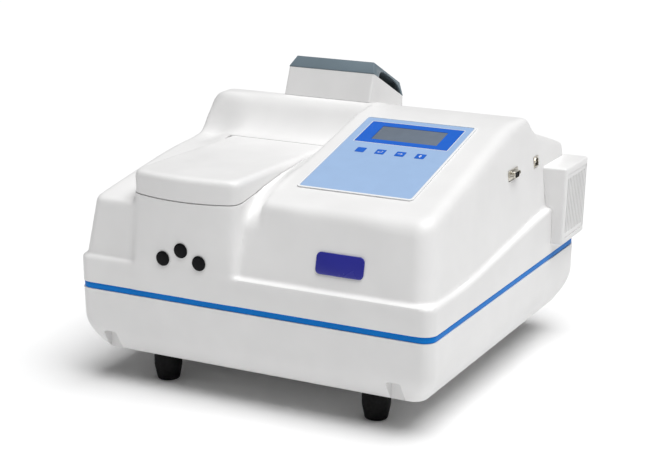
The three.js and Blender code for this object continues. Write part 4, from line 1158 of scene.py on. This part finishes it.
def make_cuvette():
    x, y = CUVETTE_X, CUVETTE_Y
    cuvette = soften(prism("cuvette", around(x, y, 6.25, 6.25, 0.4, 3), "Z", 172, 217), 0.15)
    return boolean(cuvette, block("inside", x - 5, x + 5, y - 5, y + 5, 173.5, 240))


def make_lid_seal():
    """A soft rectangular ring with a rounded top, lying on the deck round the well."""
    x0, x1, y0, y1 = WELL
    seal = prism("lid_seal", round_rect(x0 - 9, x1 + 9, y0 - 9, y1 + 9, 10.0, 8), "Z", 240, 300)
    boolean(seal, prism("hole", round_rect(x0 - 3, x1 + 3, y0 - 3, y1 + 3, 6.0, 8), "Z", 230, 310))
    boolean(seal, over_deck(LID_GAP - 0.3))
    boolean(seal, under_deck(0.3))
    return shade(seal, 40)


def make_hinge_pin():
    profile = [(0, -140), (1.1, -140), (1.5, -139.5), (1.5, -35.5), (1.1, -35), (0, -35)]
    return shade(turned("lid_hinge_pin", profile, "X", (0, HINGE_Y, HINGE_Z), 32), 40)


# ---------------------------------------------------------------- materials

class Look:
    """Builds one node material: colour, roughness and surface relief that vary over the piece."""

    def __init__(self, name, roughness, metallic=0.0, **sockets):
        self.material = bpy.data.materials.new(name)
        self.material.use_nodes = True
        self.tree = self.material.node_tree
        self.shader = self.tree.nodes["Principled BSDF"]
        self.shader.inputs["Metallic"].default_value = metallic
        self.shader.inputs["Roughness"].default_value = roughness
        for socket, value in sockets.items():
            self.shader.inputs[socket.replace("_", " ")].default_value = value
        self.place = self.tree.nodes.new("ShaderNodeTexCoord").outputs["Object"]

    def node(self, kind, inputs, **settings):
        made = self.tree.nodes.new(kind)
        for key, value in settings.items():
            setattr(made, key, value)
        for socket, value in inputs.items():
            if isinstance(value, bpy.types.NodeSocket):
                self.tree.links.new(value, made.inputs[socket])
            else:
                made.inputs[socket].default_value = value
        return made

    def noise(self, size, detail, stretch=(1, 1, 1)):
        """Noise whose features are about `size` millimetres across."""
        place = self.node("ShaderNodeMapping", {"Vector": self.place, "Scale": stretch}).outputs[0]
        pattern = {"Vector": place, "Scale": 1.0 / (size * MM), "Detail": detail, "Roughness": 0.55}
        return self.node("ShaderNodeTexNoise", pattern).outputs["Fac"]

    def ramp(self, value, start, end, low, high):
        limits = {"From Min": start, "From Max": end, "To Min": low, "To Max": high}
        return self.node("ShaderNodeMapRange", {"Value": value, **limits}).outputs["Result"]

    def blend(self, share, low, high):
        made = self.node("ShaderNodeMix", {"Factor": share}, data_type="RGBA")
        for end, value in zip([socket for socket in made.inputs if socket.type == "RGBA"], (low, high)):
            if isinstance(value, bpy.types.NodeSocket):
                self.tree.links.new(value, end)
            else:
                end.default_value = (*value, 1.0)
        return [socket for socket in made.outputs if socket.type == "RGBA"][0]

    def tone(self, size, detail, low, high, start=0.3):
        """A colour that drifts between two, in patches of about `size` millimetres."""
        return self.blend(self.ramp(self.noise(size, detail), start, 0.7, 0.0, 1.0), low, high)

    def wear(self, size, detail, low, high):
        """Roughness that drifts between two values."""
        self.roughness(self.ramp(self.noise(size, detail), 0.3, 0.7, low, high))

    def colour(self, value):
        self.tree.links.new(value, self.shader.inputs["Base Color"])

    def roughness(self, value):
        self.tree.links.new(value, self.shader.inputs["Roughness"])

    def relief(self, height, depth, before=None):
        """Relief about `depth` millimetres deep, on top of the relief made before it."""
        inputs = {"Height": height, "Distance": depth * MM, "Strength": 1.0}
        if before is not None:
            inputs["Normal"] = before
        bump = self.node("ShaderNodeBump", inputs).outputs["Normal"]
        self.tree.links.new(bump, self.shader.inputs["Normal"])
        return bump


def shades(colour, amount):
    """A darker and a lighter version of a colour."""
    return [tuple(min(max(c * share, 0), 1) for c in colour) for share in (1 - amount, 1 + amount)]


def moulded(name, colour, roughness, grain=0.012, drift=0.02, **sockets):
    """Moulded or painted plastic: fine spark-eroded grain, slow drift in tone, and faint handling marks."""
    look = Look(name, roughness, **sockets)
    look.colour(look.tone(55.0, 2.0, *shades(colour, drift)))
    wiped = look.noise(30.0, 4.0, stretch=(1, 0.35, 1))
    look.roughness(look.ramp(wiped, 0.3, 0.7, roughness - 0.05, roughness + 0.05))
    fine = look.relief(look.noise(0.7, 2.0), grain)
    look.relief(look.noise(90.0, 1.0), 0.10, before=fine)
    return look.material


def rubber(name, colour):
    look = Look(name, 0.7, Specular_IOR_Level=0.2)
    look.colour(look.tone(9.0, 4.0, *shades(colour, 0.25), start=0.35))
    look.wear(4.0, 3.0, 0.6, 0.85)
    fine = look.relief(look.noise(0.35, 2.0), 0.03)
    look.relief(look.noise(3.0, 2.0), 0.05, before=fine)
    return look.material


def film(name, colour, roughness=0.34):
    """Printed polyester film: an even tone under a fine matt texture."""
    look = Look(name, roughness, Coat_Weight=0.15, Coat_Roughness=0.25)
    look.colour(look.tone(24.0, 2.0, *shades(colour, 0.015)))
    look.wear(12.0, 3.0, roughness - 0.04, roughness + 0.06)
    look.relief(look.noise(0.28, 1.0), 0.006)
    return look.material


def display(name):
    """The grey window of a display that is switched off: faint rows of dots under clear plastic."""
    look = Look(name, 0.22, Coat_Weight=0.5, Coat_Roughness=0.12)
    tone = look.tone(18.0, 2.0, (0.150, 0.185, 0.235), (0.168, 0.205, 0.258))
    dots = look.node("ShaderNodeTexVoronoi", {"Vector": look.place, "Scale": 1100.0, "Randomness": 0.0})
    share = look.ramp(dots.outputs["Distance"], 0.25, 0.45, 0.05, 0.0)
    look.colour(look.blend(share, tone, (0.08, 0.10, 0.13)))
    look.wear(14.0, 3.0, 0.17, 0.27)
    return look.material


def metal(name, colour, roughness, grain=(1, 1, 1), scratch=0.02, **sockets):
    """Plated or machined metal with fine marks along one direction."""
    look = Look(name, roughness, 1.0, **sockets)
    look.colour(look.tone(6.0, 4.0, *shades(colour, 0.06)))
    marks = look.noise(1.2, 3.0, stretch=grain)
    look.roughness(look.ramp(marks, 0.25, 0.75, roughness - 0.08, roughness + 0.1))
    look.relief(marks, scratch)
    return look.material


def anodised(name):
    look = Look(name, 0.55, 0.15)
    look.colour(look.tone(16.0, 3.0, (0.010, 0.010, 0.011), (0.020, 0.020, 0.022)))
    look.wear(7.0, 3.0, 0.48, 0.66)
    look.relief(look.noise(0.4, 2.0), 0.02)
    return look.material


def glass(name):
    look = Look(name, 0.03, Transmission_Weight=1.0, IOR=1.46)
    look.colour(look.tone(20.0, 2.0, (0.93, 0.965, 0.98), (0.97, 0.985, 0.99)))
    look.wear(5.0, 3.0, 0.01, 0.06)
    return look.material


def circuit(name):
    """Green solder mask with lighter copper tracks under it."""
    look = Look(name, 0.4, Coat_Weight=0.3)
    base = look.tone(15.0, 2.0, (0.012, 0.085, 0.035), (0.016, 0.105, 0.045))
    tracks = look.node("ShaderNodeTexBrick", {"Vector": look.place, "Scale": 160.0, "Mortar Size": 0.05})
    tracks.offset = 0.35
    look.colour(look.blend(tracks.outputs["Fac"], base, (0.03, 0.19, 0.08)))
    look.wear(5.0, 3.0, 0.33, 0.47)
    look.relief(tracks.outputs["Fac"], 0.04)
    return look.material


def make_materials():
    return {
        "shell_white": moulded("shell_white", (0.835, 0.831, 0.828), 0.42),
        "trim_blue": moulded("trim_blue", (0.0, 0.195, 0.66), 0.45, drift=0.05, Specular_IOR_Level=0.12),
        "foot_rubber": rubber("foot_rubber", (0.004, 0.004, 0.0045)),
        "fixing_steel": metal("fixing_steel", (0.62, 0.63, 0.64), 0.28, grain=(1, 1, 6)),
        "black_plastic": moulded("black_plastic", (0.004, 0.004, 0.005), 0.5, grain=0.03, drift=0.2,
                                 Specular_IOR_Level=0.12),
        "badge_blue": moulded("badge_blue", (0.026, 0.028, 0.29), 0.26, drift=0.06, Coat_Weight=0.4),
        "chamber_black": anodised("chamber_black"),
        "clear_glass": glass("clear_glass"),
        "bezel_white": moulded("bezel_white", (0.86, 0.87, 0.88), 0.36, drift=0.01),
        "overlay_blue": film("overlay_blue", (0.35, 0.505, 0.76)),
        "frame_blue": film("frame_blue", (0.008, 0.125, 0.62)),
        "display_grey": display("display_grey"),
        "circuit_board": circuit("circuit_board"),
        "cap_grey": moulded("cap_grey", (0.155, 0.205, 0.240), 0.42, drift=0.05),
        "nickel": metal("nickel", (0.66, 0.63, 0.56), 0.3),
        "cast_aluminium": metal("cast_aluminium", (0.55, 0.56, 0.58), 0.42, grain=(1, 5, 1), scratch=0.03),
        "mirror_silver": metal("mirror_silver", (0.85, 0.86, 0.88), 0.12, scratch=0.001),
        "mark_white": film("mark_white", (0.88, 0.89, 0.90), 0.4),
    }


# ---------------------------------------------------------------- the scene

CAMERA_TARGET = Vector((-18.93, 1.1, 154.26)) * MM
CAMERA_AZIMUTH = math.radians(27.40)
CAMERA_ELEVATION = math.radians(16.08)
CAMERA_DISTANCE = 2.18894
WHITE = (1.0, 1.0, 1.0, 1.0)


def make_camera():
    camera = link("camera", bpy.data.cameras.new("camera"))
    level = math.cos(CAMERA_ELEVATION)
    out = Vector((math.sin(CAMERA_AZIMUTH) * level, -math.cos(CAMERA_AZIMUTH) * level,
                  math.sin(CAMERA_ELEVATION)))
    camera.location = CAMERA_TARGET + out * CAMERA_DISTANCE
    camera.rotation_euler = (CAMERA_TARGET - camera.location).to_track_quat("-Z", "Y").to_euler()
    camera.data.sensor_width = 36.0
    camera.data.lens = 91.47
    camera.data.clip_end = 60.0
    bpy.context.scene.camera = camera


def make_light(name, towards, power, spread):
    """A soft overhead light from one direction, `spread` degrees across."""
    lamp = bpy.data.lights.new(name, "SUN")
    lamp.energy = power
    lamp.angle = math.radians(spread)
    link(name, lamp).rotation_euler = Vector(towards).to_track_quat("Z", "Y").to_euler()


def make_stage():
    """A wide near-white floor, an even white world and one soft light."""
    far = 9
    mesh = bpy.data.meshes.new("floor")
    mesh.from_pydata([(-far, -far, 0), (far, -far, 0), (far, far, 0), (-far, far, 0)], [], [(0, 1, 2, 3)])
    floor = link("floor", mesh)
    look = Look("floor", 0.9, Specular_IOR_Level=0.1)
    look.colour(look.tone(400.0, 2.0, (0.90, 0.90, 0.90), (0.92, 0.92, 0.92)))
    floor.data.materials.append(look.material)

    world = bpy.data.worlds.new("studio")
    world.use_nodes = True
    background = world.node_tree.nodes["Background"]
    background.inputs["Color"].default_value = WHITE
    background.inputs["Strength"].default_value = 0.11
    bpy.context.scene.world = world
    make_light("key", (0.27, -0.05, 0.95), 3.4, 50)
    bpy.context.scene.view_settings.view_transform = "Standard"


# ---------------------------------------------------------------- putting it together

def paint(piece, material):
    piece.data.materials.clear()
    piece.data.materials.append(material)


def finish_piece(piece, body, slot, looks, *nodes):
    paint(piece, looks[slot])
    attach(piece, body)
    if nodes:
        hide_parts(*nodes)


def make_pieces():
    """Every piece that takes the place of a CAD node, named after it."""
    makers = (make_cover, make_lid, make_tray, make_trim, make_nameplate, make_bezel, make_overlay,
              make_display_frame, make_display_window, make_hood, make_hood_cap, make_fan_housing,
              make_louvre, make_fan_frame, make_fan_rotor, make_serial_socket, make_serial_core,
              make_usb_socket, make_mains_inlet, make_switch_frame, make_rocker, make_fuse, make_chamber,
              make_cuvette_holder, make_cuvette, make_lid_seal, make_hinge_pin)
    pieces = [make() for make in makers]
    pieces += [make_foot(name, x, y) for name, (x, y) in FEET.items()]
    pieces += [make_foot_screw(name, x, y) for name, (x, y) in FEET.items()]
    pieces += [make_plug(name, x, z) for name, (x, z) in PLUGS.items()]
    return pieces + [make_key(index) for index in range(len(KEY_XS))]


def main():
    make_camera()
    make_stage()
    looks = make_materials()
    subparts = frame["record"]["subparts"]
    bodies = frame["record"]["behaviour"]["bodies"]
    body_of = {node: body for body, nodes in bodies.items() for node in nodes}
    slot_of = {part["node"]: part["material_slot"] for part in subparts}

    pieces = make_pieces()
    replaced = []
    for piece in pieces:
        node = piece.name.split(".")[0]
        piece.name = node + "_form"
        finish_piece(piece, body_of[node], slot_of[node], looks, node)
        replaced.append(node)

    for index in (1, 2, 3):
        marks = make_key_marks(index)
        finish_piece(marks, f"key_{index + 1}", "bezel_white", looks)
        paint(marks, looks["mark_white"])
    finish_piece(make_overlay_lines(), "base", "bezel_white", looks)
    finish_piece(make_rocker_marks(), "rocker", "bezel_white", looks)
    for part in subparts:
        if part["node"] not in replaced:
            paint(frame["nodes"][part["node"]], looks[part["material_slot"]])


main()
